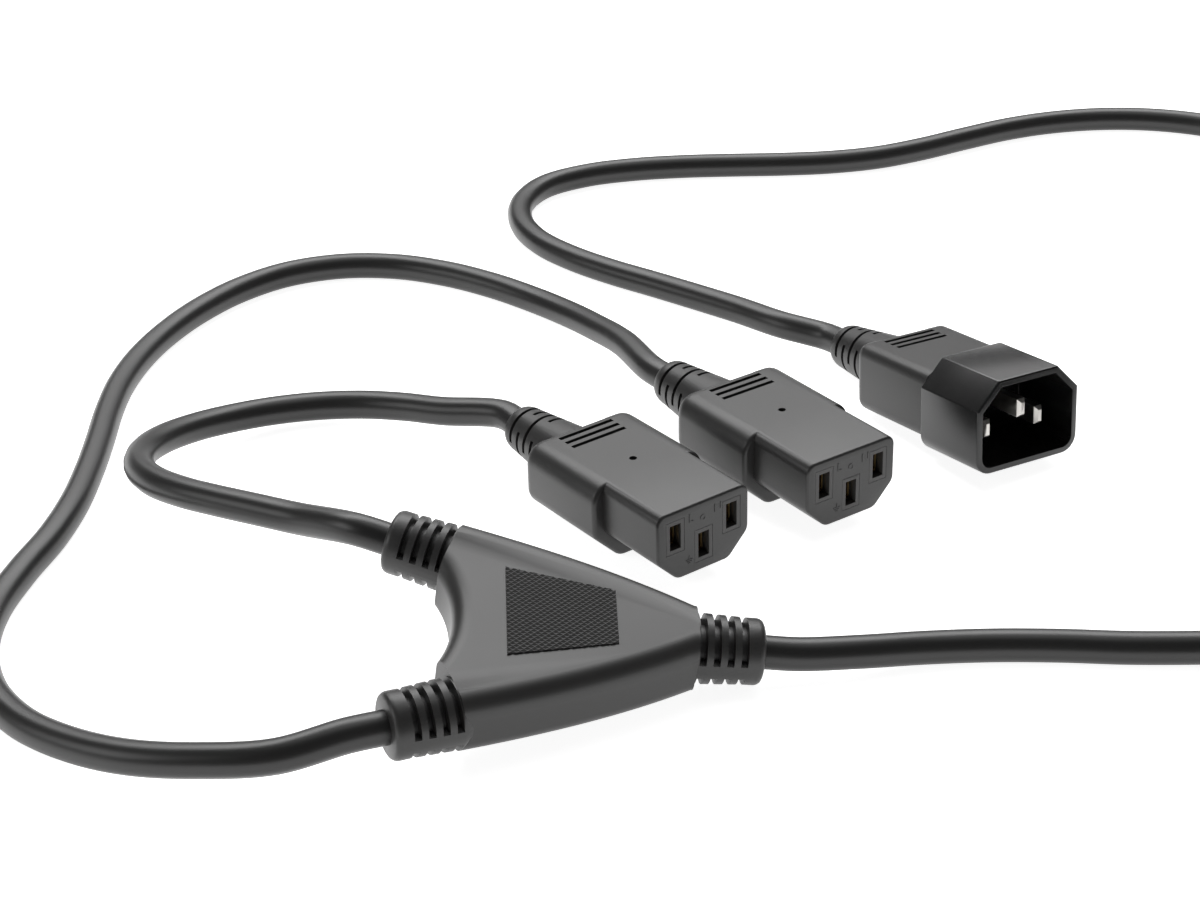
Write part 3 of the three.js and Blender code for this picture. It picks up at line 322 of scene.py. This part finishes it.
def sector(inner, outer, x0, x1, middle, span, steps=20):
    """Part of a ring round the X axis, as a cutter for a slot."""
    bm = bmesh.new()
    corners = [(x0, inner, 0), (x1, inner, 0), (x1, outer, 0), (x0, outer, 0)]
    face = bm.faces.new([bm.verts.new(c) for c in corners])
    start = Matrix.Rotation(math.radians(middle - span / 2), 3, "X")
    bmesh.ops.rotate(bm, verts=bm.verts, cent=(0, 0, 0), matrix=start)
    bmesh.ops.spin(
        bm,
        geom=[face, *face.edges, *face.verts],
        cent=(0, 0, 0),
        axis=(1, 0, 0),
        angle=math.radians(span),
        steps=steps,
    )
    bmesh.ops.recalc_face_normals(bm, faces=bm.faces)
    return bm


def block(low, high):
    bm = bmesh.new()
    bmesh.ops.create_cube(bm, size=1)
    size = Vector(high) - Vector(low)
    bmesh.ops.scale(bm, verts=bm.verts, vec=size)
    bmesh.ops.translate(bm, verts=bm.verts, vec=(Vector(low) + Vector(high)) / 2)
    return bm


def gathered(parts):
    """Several meshes as one, each still a shell of its own."""
    whole = bmesh.new()
    for part in parts:
        mesh = bpy.data.meshes.new("work")
        part.to_mesh(mesh)
        part.free()
        whole.from_mesh(mesh)
        bpy.data.meshes.remove(mesh)
    return whole


def moved(bm, matrix):
    bm.transform(matrix)
    return bm


def work_object(bm):
    mesh = bpy.data.meshes.new("work")
    bm.to_mesh(mesh)
    bm.free()
    thing = bpy.data.objects.new("work", mesh)
    bpy.context.scene.collection.objects.link(thing)
    return thing


def shaped(start, *steps):
    """A solid with others added to it or cut from it, in turn."""
    base = work_object(start)
    tools = []
    for operation, bm in steps:
        tool = work_object(bm)
        tools.append(tool)
        modifier = base.modifiers.new("step", "BOOLEAN")
        modifier.operation = operation
        modifier.object = tool
        modifier.solver = "MANIFOLD"
    graph = bpy.context.evaluated_depsgraph_get()
    made = bpy.data.meshes.new_from_object(base.evaluated_get(graph))
    result = bmesh.new()
    result.from_mesh(made)
    bpy.data.meshes.remove(made)
    for thing in [base, *tools]:
        mesh = thing.data
        bpy.data.objects.remove(thing)
        bpy.data.meshes.remove(mesh)
    bmesh.ops.remove_doubles(result, verts=result.verts, dist=MERGE)
    bmesh.ops.dissolve_degenerate(result, edges=result.edges, dist=MERGE)
    return result


def make_piece(name, bm, place, finish, edge=0.0, replaces=()):
    """A finished piece with its place in its mesh, and a soft edge where it is given one."""
    bm.transform(place)
    mesh = bpy.data.meshes.new(name)
    bm.to_mesh(mesh)
    bm.free()
    mesh.shade_smooth()
    mesh.set_sharp_from_angle(angle=SHARP)
    mesh.materials.append(finish)
    piece = bpy.data.objects.new(name, mesh)
    bpy.context.scene.collection.objects.link(piece)
    if edge:
        soften(piece, edge)
    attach(piece, "root")
    if replaces:
        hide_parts(*replaces)
    return piece


def soften(piece, edge):
    """Rounds the sharp edges of a piece by so many millimetres."""
    bevel = piece.modifiers.new("edge", "BEVEL")
    bevel.width = edge * MM
    bevel.segments = 2
    bevel.limit_method = "ANGLE"
    bevel.angle_limit = SHARP
    bevel.harden_normals = True


# Finishes


class Signal:
    """A shader socket whose arithmetic adds Math nodes."""

    def __init__(self, finish, socket):
        self.finish = finish
        self.socket = socket

    def math(self, operation, other):
        return self.finish.node("ShaderNodeMath", {"operation": operation}, self, other)

    def __add__(self, other):
        return self.math("ADD", other)

    def __mul__(self, other):
        return self.math("MULTIPLY", other)


class Finish:
    """A procedural material, built from nodes that one method makes."""

    def __init__(self, name):
        self.material = bpy.data.materials.new(name)
        self.material.use_nodes = True
        self.tree = self.material.node_tree
        self.shader = self.tree.nodes["Principled BSDF"]
        self.place = self.node("ShaderNodeTexCoord", output="Object")

    def node(self, kind, settings=None, *values, output=0, **named):
        made = self.tree.nodes.new(kind)
        for key, value in (settings or {}).items():
            setattr(made, key, value)
        for i, value in enumerate(values):
            self.feed(made.inputs[i], value)
        for key, value in named.items():
            self.feed(made.inputs[key.replace("_", " ")], value)
        return Signal(self, made.outputs[output])

    def feed(self, socket, value):
        if isinstance(value, Signal):
            self.tree.links.new(value.socket, socket)
        else:
            socket.default_value = value

    def set(self, **named):
        for key, value in named.items():
            self.feed(self.shader.inputs[key.replace("_", " ")], value)
        return self

    def noise(self, scale, detail=2, stretch=(1, 1, 1)):
        where = self.place
        if stretch != (1, 1, 1):
            where = self.node("ShaderNodeMapping", None, Vector=where, Scale=stretch)
        return self.node("ShaderNodeTexNoise", None, Vector=where, Scale=scale, Detail=detail)

    def mixed(self, factor, first, second):
        made = self.tree.nodes.new("ShaderNodeMix")
        made.data_type = "RGBA"
        self.feed(made.inputs["Factor"], factor)
        self.feed(made.inputs[6], first)
        self.feed(made.inputs[7], second)
        return Signal(self, made.outputs[2])

    def bump(self, height, strength, distance):
        relief = self.node(
            "ShaderNodeBump", None, Height=height, Strength=strength, Distance=distance * MM
        )
        return self.set(Normal=relief)


def grey(level, warm=0.0):
    return (level * (1 + warm), level, level * (1 - warm), 1)


def moulded_plastic(name, level, roughness, grain_size=0.35, grain=0.25, warm=0.02):
    """Dyed plastic with the fine grain of its mould, a little cloudy over broad areas."""
    finish = Finish(name)
    cloud = finish.noise(55, 3)
    grain_height = finish.noise(1 / (grain_size * MM), 2)
    finish.set(
        Base_Color=finish.mixed(cloud, grey(level * 0.88, warm), grey(level * 1.12, warm)),
        Roughness=cloud * 0.07 + (grain_height * 0.05 + (roughness - 0.06)),
    )
    return finish.bump(grain_height, grain, 0.02)


overmould = moulded_plastic("overmould_satin", 0.02, 0.4).material
sheath = moulded_plastic("cord_sheath_satin", 0.012, 0.36, 0.5, 0.15).material
carrier = moulded_plastic("carrier_nylon", 0.045, 0.5, 0.4, 0.2).material
gloss = moulded_plastic("shroud_gloss", 0.006, 0.25, 1.2, 0.06, 0.0).material
strap_cloth = moulded_plastic("strap_nylon", 0.02, 0.75, 0.25, 0.6).material


def bare_metal(name, colour, roughness):
    finish = Finish(name)
    drawn = finish.noise(900, 3, (1, 1, 0.15))
    cloud = finish.noise(150, 2)
    tone = finish.mixed(cloud, tuple(c * 0.9 for c in colour[:3]) + (1,), colour)
    finish.set(Base_Color=tone, Metallic=1.0, Roughness=drawn * 0.16 + (roughness - 0.06))
    return finish.bump(drawn, 0.15, 0.01)


nickel = bare_metal("nickel_plate", (0.62, 0.6, 0.57, 1), 0.3).material
brass = bare_metal("brass_strip", (0.58, 0.4, 0.17, 1), 0.34).material


def dyed_core(name, colour):
    finish = Finish(name)
    cloud = finish.noise(120, 2)
    finish.set(
        Base_Color=finish.mixed(cloud, tuple(c * 0.85 for c in colour[:3]) + (1,), colour),
        Roughness=cloud * 0.1 + 0.38,
    )
    return finish.material


core_finish = {
    "line": dyed_core("core_brown", (0.13, 0.045, 0.018, 1)),
    "neutral": dyed_core("core_blue", (0.03, 0.1, 0.38, 1)),
    "earth": dyed_core("core_green", (0.14, 0.3, 0.05, 1)),
}

# Y moulding

BODY_T = 13
BODY_EDGE = 3.8
RIB_LENGTH = 12.4
RIB_R = 6.55
RIB_TIP_R = 6.15
RIB_FLANGE = 3.2
RIB_SLOT_W = 1.3
RIB_SLOTS = 4
RIB_SLOT_PITCH = 2.55
RIB_SLOT_DEPTH = 1.9
RIB_SLOT_SPAN = 152
SADDLE_R = 26
SADDLE_END = Vector((-60.4, 13.0))
SHOULDER_IN = 1.3
RUN_ON = 8
TRUNK_FLARE = Vector((13, 7.6))
SHOULDER_FLARE = Vector((15, 5.0))
FLANK_POINTS = 26
HOLLOW_STEPS = 24
SLEEVE_ROOT = {"length": 2.5, "in": 1.7}
SLEEVE_LIP = [(0, 1.2), (0.12, 0.7), (0.42, 0.25), (0.9, 0)]
Y_SOFT_EDGE = 0.22
PATCH = {"near": 6.9, "far": 11.3, "start": -47.4, "end": -27.4}
PATCH_RISE = 0.35
PATCH_FOOT = 0.9
KNURL = 0.87
KNURL_CELLS = 44
KNURL_STRETCH = (1.05, 0.95, 1)
KNURL_DEPTH = 0.24


def y_outline():
    """The body seen from above, with its trunk end and its two legs run on past where they are cut."""
    root = (LEG_EXIT - front_way * RIB_LENGTH).xy
    side = Vector((front_way.y, -front_way.x)) * (RIB_R - SHOULDER_IN)
    shoulder = root + side if side.y > 0 else root - side
    end = -RIB_LENGTH
    flank = interpolate_bezier(
        (end, RIB_R, 0),
        (end - TRUNK_FLARE.x, RIB_R + TRUNK_FLARE.y, 0),
        (shoulder.x + SHOULDER_FLARE.x, shoulder.y - SHOULDER_FLARE.y, 0),
        (shoulder.x, shoulder.y, 0),
        FLANK_POINTS,
    )
    run_on = front_way.xy * RUN_ON
    far = [Vector((end + RUN_ON, RIB_R)), *(Vector(p).xy for p in flank), shoulder + run_on]
    sweep = math.asin(SADDLE_END.y / SADDLE_R)
    centre = SADDLE_END.x - SADDLE_R * math.cos(sweep)
    hollow = []
    for i in range(HOLLOW_STEPS + 1):
        a = sweep - 2 * sweep * i / HOLLOW_STEPS
        hollow.append(Vector((centre + SADDLE_R * math.cos(a), SADDLE_R * math.sin(a))))
    far.append(SADDLE_END + run_on)
    near = [Vector((p.x, -p.y)) for p in reversed(far)]
    return far + hollow + near


def cut_flat(bm, point, away):
    """Cuts off what is beyond a plane and closes the solid there."""
    whole = bm.verts[:] + bm.edges[:] + bm.faces[:]
    bmesh.ops.bisect_plane(bm, geom=whole, plane_co=point, plane_no=away, clear_outer=True)
    bmesh.ops.edgeloop_fill(bm, edges=[e for e in bm.edges if e.is_boundary])


def ribbed_sleeve():
    """A sleeve along X with its exit at the origin, slotted on two sides."""
    flange = -RIB_FLANGE
    root = -RIB_LENGTH - SLEEVE_ROOT["length"]
    lip = [(RIB_TIP_R - inwards, -back) for inwards, back in SLEEVE_LIP]
    inside = [(0, root), (RIB_R - SLEEVE_ROOT["in"], root), (RIB_R, -RIB_LENGTH)]
    solid = turned([*inside, (RIB_TIP_R, flange), *lip, (0, 0)], 64)
    cutters = []
    for i in range(RIB_SLOTS):
        x = flange - RIB_SLOT_W / 2 - i * RIB_SLOT_PITCH
        for middle in (90, 270):
            low, high = x - RIB_SLOT_W / 2, x + RIB_SLOT_W / 2
            depth = RIB_TIP_R - RIB_SLOT_DEPTH
            cutters.append(sector(depth, RIB_R + 1, low, high, middle, RIB_SLOT_SPAN))
    return shaped(solid, ("DIFFERENCE", gathered(cutters)))


def y_legs():
    front = Matrix.Translation(LEG_EXIT) @ Matrix.Rotation(leg_turn, 4, "Z")
    rear = Matrix.Translation(rear_leg_exit) @ Matrix.Rotation(-leg_turn, 4, "Z")
    return front, rear


def make_y():
    body = prism(y_outline(), -BODY_T / 2, BODY_T / 2, BODY_EDGE, BODY_EDGE, 10)
    cut_flat(body, (-RIB_LENGTH, 0, 0), (1, 0, 0))
    for leg_exit, way in ((LEG_EXIT, front_way), (rear_leg_exit, rear_way)):
        cut_flat(body, leg_exit - way * RIB_LENGTH, way)
    bmesh.ops.recalc_face_normals(body, faces=body.faces)
    front, rear = y_legs()
    sleeves = [ribbed_sleeve(), moved(ribbed_sleeve(), front), moved(ribbed_sleeve(), rear)]
    whole = shaped(body, *[("UNION", sleeve) for sleeve in sleeves])
    return make_piece("y_body", whole, Y_PLACE, overmould, Y_SOFT_EDGE, ["y_moulding"])


def make_grip_patch():
    """A trapezoid panel of small pyramids, cut from a turned grid."""
    bm = bmesh.new()
    bmesh.ops.create_grid(
        bm, x_segments=KNURL_CELLS, y_segments=KNURL_CELLS, size=KNURL_CELLS * KNURL / 2
    )
    bmesh.ops.rotate(bm, verts=bm.verts, matrix=Matrix.Rotation(math.radians(45), 3, "Z"))
    middle = (PATCH["start"] + PATCH["end"]) / 2
    bmesh.ops.scale(bm, verts=bm.verts, vec=KNURL_STRETCH)
    bmesh.ops.translate(bm, verts=bm.verts, vec=(middle, 0, 0))
    bmesh.ops.poke(bm, faces=bm.faces, offset=-KNURL_DEPTH)
    slant = Vector((PATCH["end"] - PATCH["start"], PATCH["near"] - PATCH["far"]))
    out = Vector((-slant.y, slant.x)).normalized()
    cuts = [
        ((PATCH["start"], 0, 0), (-1, 0, 0)),
        ((PATCH["end"], 0, 0), (1, 0, 0)),
        ((PATCH["end"], PATCH["near"], 0), (out.x, out.y, 0)),
        ((PATCH["end"], -PATCH["near"], 0), (out.x, -out.y, 0)),
    ]
    for point, away in cuts:
        bmesh.ops.bisect_plane(
            bm,
            geom=bm.verts[:] + bm.edges[:] + bm.faces[:],
            plane_co=point,
            plane_no=away,
            clear_outer=True,
        )
    rim = [e for e in bm.edges if e.is_boundary]
    fallen = bmesh.ops.extrude_edge_only(bm, edges=rim)["geom"]
    for v in fallen:
        if isinstance(v, bmesh.types.BMVert):
            v.co.z = -PATCH_FOOT
    bmesh.ops.edgeloop_fill(bm, edges=[e for e in bm.edges if e.is_boundary])
    bmesh.ops.translate(bm, verts=bm.verts, vec=(0, 0, BODY_T / 2 + PATCH_RISE))
    bmesh.ops.recalc_face_normals(bm, faces=bm.faces)
    return make_piece("y_grip_patch", bm, Y_PLACE, overmould)


make_y()
make_grip_patch()

# Sockets and plug

NOSE_W = 22.8
NOSE_L = 17.3
COLLAR_STEP = 2.4
COLLAR_L = 24.6
TOP = 17.8
SOCKET_REAR = -(NOSE_L + COLLAR_L)
NOSE_ROOT = 6  # the nose starts this far inside the collar
SLOT = Vector((2.65, 5.4))
SLOT_RIM = 0.9
SLOT_PLACES = [(-7, 12.2), (7, 12.2), (0, 8.2)]
POCKET_DEPTH = 15.7
POCKET_SPARE = 0.05
PEG_BACK = 5.1
PEG_HOLE = {"radius": 0.8, "deep": 5.2}
GROOVES = {"count": 4, "first": 1.5, "pitch": 2.2, "width": 1.05, "reach": 6.7, "depth": 0.8}
HOUSING_EDGE = 0.16
SLEEVE_L = 20
SLEEVE = {"root": 7.2, "neck": 5.2, "tip": 4.1, "tip_length": 3.0}
SLEEVE_SLOTS = {
    "count": 4,
    "start": 0.3,
    "width": 0.95,
    "pitch": 2.8,
    "depth": 0.9,
    "span": 128,
    "first": 125,
}


def housing(half, low, high, chamfer, low_r, high_r, high_chamfer=0):
    """A housing's section, with its lower corners cut off and all corners rounded."""
    right = []
    if chamfer:
        right += [(half - chamfer, low, low_r), (half, low + chamfer, low_r)]
    else:
        right += [(half, low, low_r)]
    if high_chamfer:
        right += [(half, high - high_chamfer, high_r), (half - high_chamfer, high, high_r)]
    else:
        right += [(half, high, high_r)]
    left = [(-across, up, radius) for across, up, radius in reversed(right)]
    return rounded(right + left)


def tapered_sleeve(rear, axis_z):
    """The cord's strain relief behind a housing, with slots a quarter turn apart."""
    end = rear - SLEEVE_L
    neck, tip = SLEEVE["neck"], SLEEVE["tip"]
    dome = []
    for k in range(7):
        a = math.pi / 2 * k / 6
        back = SLEEVE["tip_length"] * (1 - math.cos(a))
        dome.append((tip + (neck - tip) * math.sin(a), end + back))
    cone = turned([(0, end), *dome, (SLEEVE["root"], rear + 1), (0, rear + 1)], 64)
    cutters = []
    slope = (SLEEVE["root"] - neck) / SLEEVE_L
    for i in range(SLEEVE_SLOTS["count"]):
        x = end + SLEEVE["tip_length"] + SLEEVE_SLOTS["start"] + i * SLEEVE_SLOTS["pitch"]
        first = SLEEVE_SLOTS["first"] + (i % 2) * 90
        inner = neck - SLEEVE_SLOTS["depth"] + i * SLEEVE_SLOTS["pitch"] * slope
        half = SLEEVE_SLOTS["width"] / 2
        for middle in (first, first + 180):
            cutters.append(
                sector(inner, SLEEVE["root"] + 1, x - half, x + half, middle, SLEEVE_SLOTS["span"])
            )
    up = Matrix.Translation((0, 0, axis_z))
    return moved(cone, up), moved(gathered(cutters), up)


def top_cutters(rear, top, peg_x=None):
    """Finger grooves near the rear, and the round hole of the mould's peg."""
    cutters = []
    half, reach = GROOVES["width"] / 2, GROOVES["reach"]
    for i in range(GROOVES["count"]):
        x = rear + GROOVES["first"] + i * GROOVES["pitch"]
        low = (x - half, -reach, top - GROOVES["depth"])
        cutters.append(block(low, (x + half, reach, top + 1)))
    if peg_x is not None:
        hole = bmesh.new()
        bmesh.ops.create_cone(
            hole,
            cap_ends=True,
            segments=24,
            radius1=PEG_HOLE["radius"],
            radius2=PEG_HOLE["radius"],
            depth=PEG_HOLE["deep"],
        )
        bmesh.ops.translate(hole, verts=hole.verts, vec=(peg_x, 0, top))
        cutters.append(hole)
    return cutters


def make_socket(prefix, place):
    half = NOSE_W / 2
    nose_section = housing(half, COLLAR_STEP, TOP, 5.0, 2.6, 2.2)
    nose = along_x(nose_section, SOCKET_REAR + NOSE_ROOT, 0, 0, 0.6, 4)
    collar_section = housing(half + COLLAR_STEP, 0, TOP, 6.4, 3.2, 4.4)
    collar = along_x(collar_section, SOCKET_REAR, -NOSE_L, 3.0, 0.9, 8)
    cone, slots = tapered_sleeve(SOCKET_REAR, TOP / 2)
    rim = SLOT_RIM + POCKET_SPARE
    tube = SLOT / 2 + Vector((rim, rim))
    pockets = [
        block((-POCKET_DEPTH, y - tube.x, z - tube.y), (1, y + tube.x, z + tube.y))
        for y, z in SLOT_PLACES
    ]
    cutters = gathered([slots, *top_cutters(SOCKET_REAR, TOP, -NOSE_L - PEG_BACK), *pockets])
    whole = shaped(collar, ("UNION", nose), ("UNION", cone), ("DIFFERENCE", cutters))
    replaced = [f"{prefix}_body"]
    shell = make_piece(
        f"{prefix}_shell", whole, place, overmould, HOUSING_EDGE, replaced
    )
    return [shell, make_marks(prefix, place)]


def text_mark(letter, size, y, z):
    """A raised letter on the face of a socket."""
    words = bpy.data.curves.new("mark", "FONT")
    words.body = letter
    words.size = size
    words.extrude = 0.1
    words.align_x = "CENTER"
    words.align_y = "CENTER"
    holder = bpy.data.objects.new("mark", words)
    bpy.context.scene.collection.objects.link(holder)
    graph = bpy.context.evaluated_depsgraph_get()
    mesh = bpy.data.meshes.new_from_object(holder.evaluated_get(graph))
    bm = bmesh.new()
    bm.from_mesh(mesh)
    bpy.data.objects.remove(holder)
    bpy.data.curves.remove(words)
    bpy.data.meshes.remove(mesh)
    bmesh.ops.remove_doubles(bm, verts=bm.verts, dist=MERGE)
    return moved(bm, Matrix.Translation((0, y, z)) @ LENGTHWISE)


MARK_SUNK = 0.1
MARK_LINE = 0.09
LETTER_SIZE = 2.6
EARTH_Y, EARTH_Z = -3.6, 5.9


def make_marks(prefix, place):
    """The pole letters, the earth sign and the small ring on the face."""
    parts = [
        text_mark("L", LETTER_SIZE, -3.1, 15.0),
        text_mark("N", LETTER_SIZE, 3.6, 15.1),
    ]
    ring = turned([(0.45, -0.1), (0.45, 0.08), (0.65, 0.08), (0.65, -0.1), (0.45, -0.1)], 24)
    parts.append(moved(ring, Matrix.Translation((0, -0.1, 14.2))))
    for half, z in ((0.85, 0), (0.55, -0.4), (0.25, -0.8)):
        low = (-MARK_SUNK, EARTH_Y - half, EARTH_Z + z - MARK_LINE)
        high = (MARK_LINE, EARTH_Y + half, EARTH_Z + z + MARK_LINE)
        parts.append(block(low, high))
    low = (-MARK_SUNK, EARTH_Y - MARK_LINE, EARTH_Z)
    parts.append(block(low, (MARK_LINE, EARTH_Y + MARK_LINE, EARTH_Z + 0.9)))
    return make_piece(f"{prefix}_face_marks", gathered(parts), place, overmould)


SHROUD_L = 19
CAVITY_DEPTH = 17.2
PLUG_REAR = -43.9
PLUG_TOP = 17.2
PLUG_AXIS_Z = PLUG_EXIT.z
REAR_GAP = 0.02
SHROUD_EDGE = 0.18


def make_plug(place):
    outer = housing(13.45, 0, 20.1, 0, 3.85, 0.5, 5.65)
    inner = housing(12.0, 1.45, 18.65, 0, 2.4, 0.4, 4.8)
    shroud = shaped(
        along_x(outer, -SHROUD_L, 0, 0.4, 0.45, 3),
        ("DIFFERENCE", along_x(inner, -CAVITY_DEPTH, 1)),
    )
    replaced = ["plug_shroud"]
    front = make_piece(
        "plug_shroud_shell", shroud, place, gloss, SHROUD_EDGE, replaced
    )
    section = housing(12.3, 1.8, PLUG_TOP, 0, 2.8, 2.8)
    rear = along_x(section, PLUG_REAR, -SHROUD_L - REAR_GAP, 2.6, 0, 8)
    cone, slots = tapered_sleeve(PLUG_REAR, PLUG_AXIS_Z)
    cutters = gathered([slots, *top_cutters(PLUG_REAR, PLUG_TOP)])
    whole = shaped(rear, ("UNION", cone), ("DIFFERENCE", cutters))
    replaced = ["plug_body"]
    back = make_piece(
        "plug_rear_shell", whole, place, overmould, HOUSING_EDGE, replaced
    )
    return [front, back]


socket_a = make_socket("socket_a", SOCKET_A_PLACE)
socket_b = make_socket("socket_b", SOCKET_B_PLACE)
plug = make_plug(PLUG_PLACE)

# The tie round the coil

TIE_ANGLE = 320
TIE_W = 9
TIE_T = 0.9
TIE_HALF = 7.8
TIE_LOW, TIE_HIGH = 0.05, 15.15
TIE_LOW_R, TIE_HIGH_R = 2.4, 3.4
TIE_EDGE = 0.15


def make_tie():
    low, high = TIE_LOW + TIE_T / 2, TIE_HIGH - TIE_T / 2
    section = rounded(
        [
            (-TIE_HALF, low, TIE_LOW_R),
            (TIE_HALF, low, TIE_LOW_R),
            (TIE_HALF, high, TIE_HIGH_R),
            (-TIE_HALF, high, TIE_HIGH_R),
        ]
    )
    bm = bmesh.new()
    verts = [bm.verts.new((p.x, -TIE_W / 2, p.y)) for p in section]
    edges = [bm.edges.new((a, b)) for a, b in zip(verts, verts[1:] + verts[:1])]
    grown = bmesh.ops.extrude_edge_only(bm, edges=edges)["geom"]
    wide = [v for v in grown if isinstance(v, bmesh.types.BMVert)]
    bmesh.ops.translate(bm, verts=wide, vec=(0, TIE_W, 0))
    bmesh.ops.recalc_face_normals(bm, faces=bm.faces)
    bmesh.ops.solidify(bm, geom=bm.faces[:], thickness=TIE_T)
    bmesh.ops.translate(bm, verts=bm.verts, vec=(COIL_MIDDLE, 0, 0))
    turn = Matrix.Rotation(math.radians(TIE_ANGLE), 4, "Z")
    place = Matrix.Scale(MM, 4) @ Matrix.Translation((*COIL_AT, 0)) @ turn
    return make_piece("coil_strap", bm, place, strap_cloth, TIE_EDGE, ["coil_tie"])


coil_strap = make_tie()

# The nodes that stay as they are get their finish and a soft edge


CARRIER_EDGE = 0.12
PIN_EDGE = 0.15


def dress(name, finish, edge=0.0):
    node = NODES[name]
    node.data.materials.clear()
    node.data.materials.append(finish)
    if edge:
        weld = node.modifiers.new("weld", "WELD")
        weld.merge_threshold = 1e-6
        soften(node, edge)
    return node


POLES = ("line", "neutral", "earth")
insides = {"socket_a": [], "socket_b": [], "plug": []}
for prefix in ("socket_a", "socket_b"):
    insides[prefix].append(dress(f"{prefix}_contact_carrier", carrier, CARRIER_EDGE))
    for pole in POLES:
        insides[prefix].append(dress(f"{prefix}_{pole}_contact", brass))
        insides[prefix].append(dress(f"{prefix}_{pole}_core", core_finish[pole]))
for pole in POLES:
    insides["plug"].append(dress(f"plug_{pole}_pin", nickel, PIN_EDGE))
    insides["plug"].append(dress(f"plug_{pole}_core", core_finish[pole]))
    dress(f"y_{pole}_crimp", nickel)
    for cord in ("trunk", "front", "rear"):
        dress(f"y_{cord}_{pole}_core", core_finish[pole])

# What the cords are

for cord, nodes in (
    (front_cord, ["front_branch_cord"]),
    (rear_cord, ["rear_branch_cord"]),
    (trunk_cord, ["trunk_cord_near", "trunk_cord_far", "trunk_coil"]),
):
    cord.data.materials.append(sheath)
    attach(cord, "root")
    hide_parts(*nodes)

# Studio

FLOOR_DROP = 0.0002
FLOOR_GLOW = 0.88
WORLD_LIGHT = 0.12
SOFTBOXES = (  # name, place, what it looks at, size, watts
    ("softbox_back", (0.0, 0.95, 1.1), (0.05, 0.1, 0), (1.8, 0.7), 22),
    ("softbox_low", (0.1, 1.35, 0.62), (0.05, 0.1, 0), (1.8, 0.4), 3.5),
    ("softbox_top", (0.1, 0.25, 1.3), (0.05, 0.1, 0), (0.8, 0.8), 2),
    ("softbox_left", (-1.1, -0.25, 0.55), (0, 0.05, 0), (0.7, 0.5), 3),
)


def make_studio():
    bm = bmesh.new()
    bmesh.ops.create_grid(bm, x_segments=1, y_segments=1, size=3)
    mesh = bpy.data.meshes.new("studio_floor")
    bm.to_mesh(mesh)
    bm.free()
    floor = bpy.data.objects.new("studio_floor", mesh)
    floor.location.z = -FLOOR_DROP
    bpy.context.scene.collection.objects.link(floor)
    paper = Finish("white_paper")
    paper.set(
        Base_Color=(0.9, 0.9, 0.9, 1),
        Roughness=0.9,
        Specular_IOR_Level=0.0,
        Emission_Color=(1, 1, 1, 1),
        Emission_Strength=FLOOR_GLOW,
    )
    mesh.materials.append(paper.material)

    world = bpy.data.worlds.new("studio")
    world.use_nodes = True
    backdrop = world.node_tree.nodes["Background"]
    backdrop.inputs["Color"].default_value = (1, 1, 1, 1)
    backdrop.inputs["Strength"].default_value = WORLD_LIGHT
    bpy.context.scene.world = world

    for name, at, aim, size, watts in SOFTBOXES:
        lamp = bpy.data.lights.new(name, "AREA")
        lamp.shape = "RECTANGLE"
        lamp.size, lamp.size_y = size
        lamp.energy = watts
        light = bpy.data.objects.new(name, lamp)
        light.location = at
        light.rotation_euler = (Vector(at) - Vector(aim)).to_track_quat("Z", "Y").to_euler()
        light.visible_camera = False
        bpy.context.scene.collection.objects.link(light)
    bpy.context.scene.view_settings.view_transform = "Standard"


make_studio()
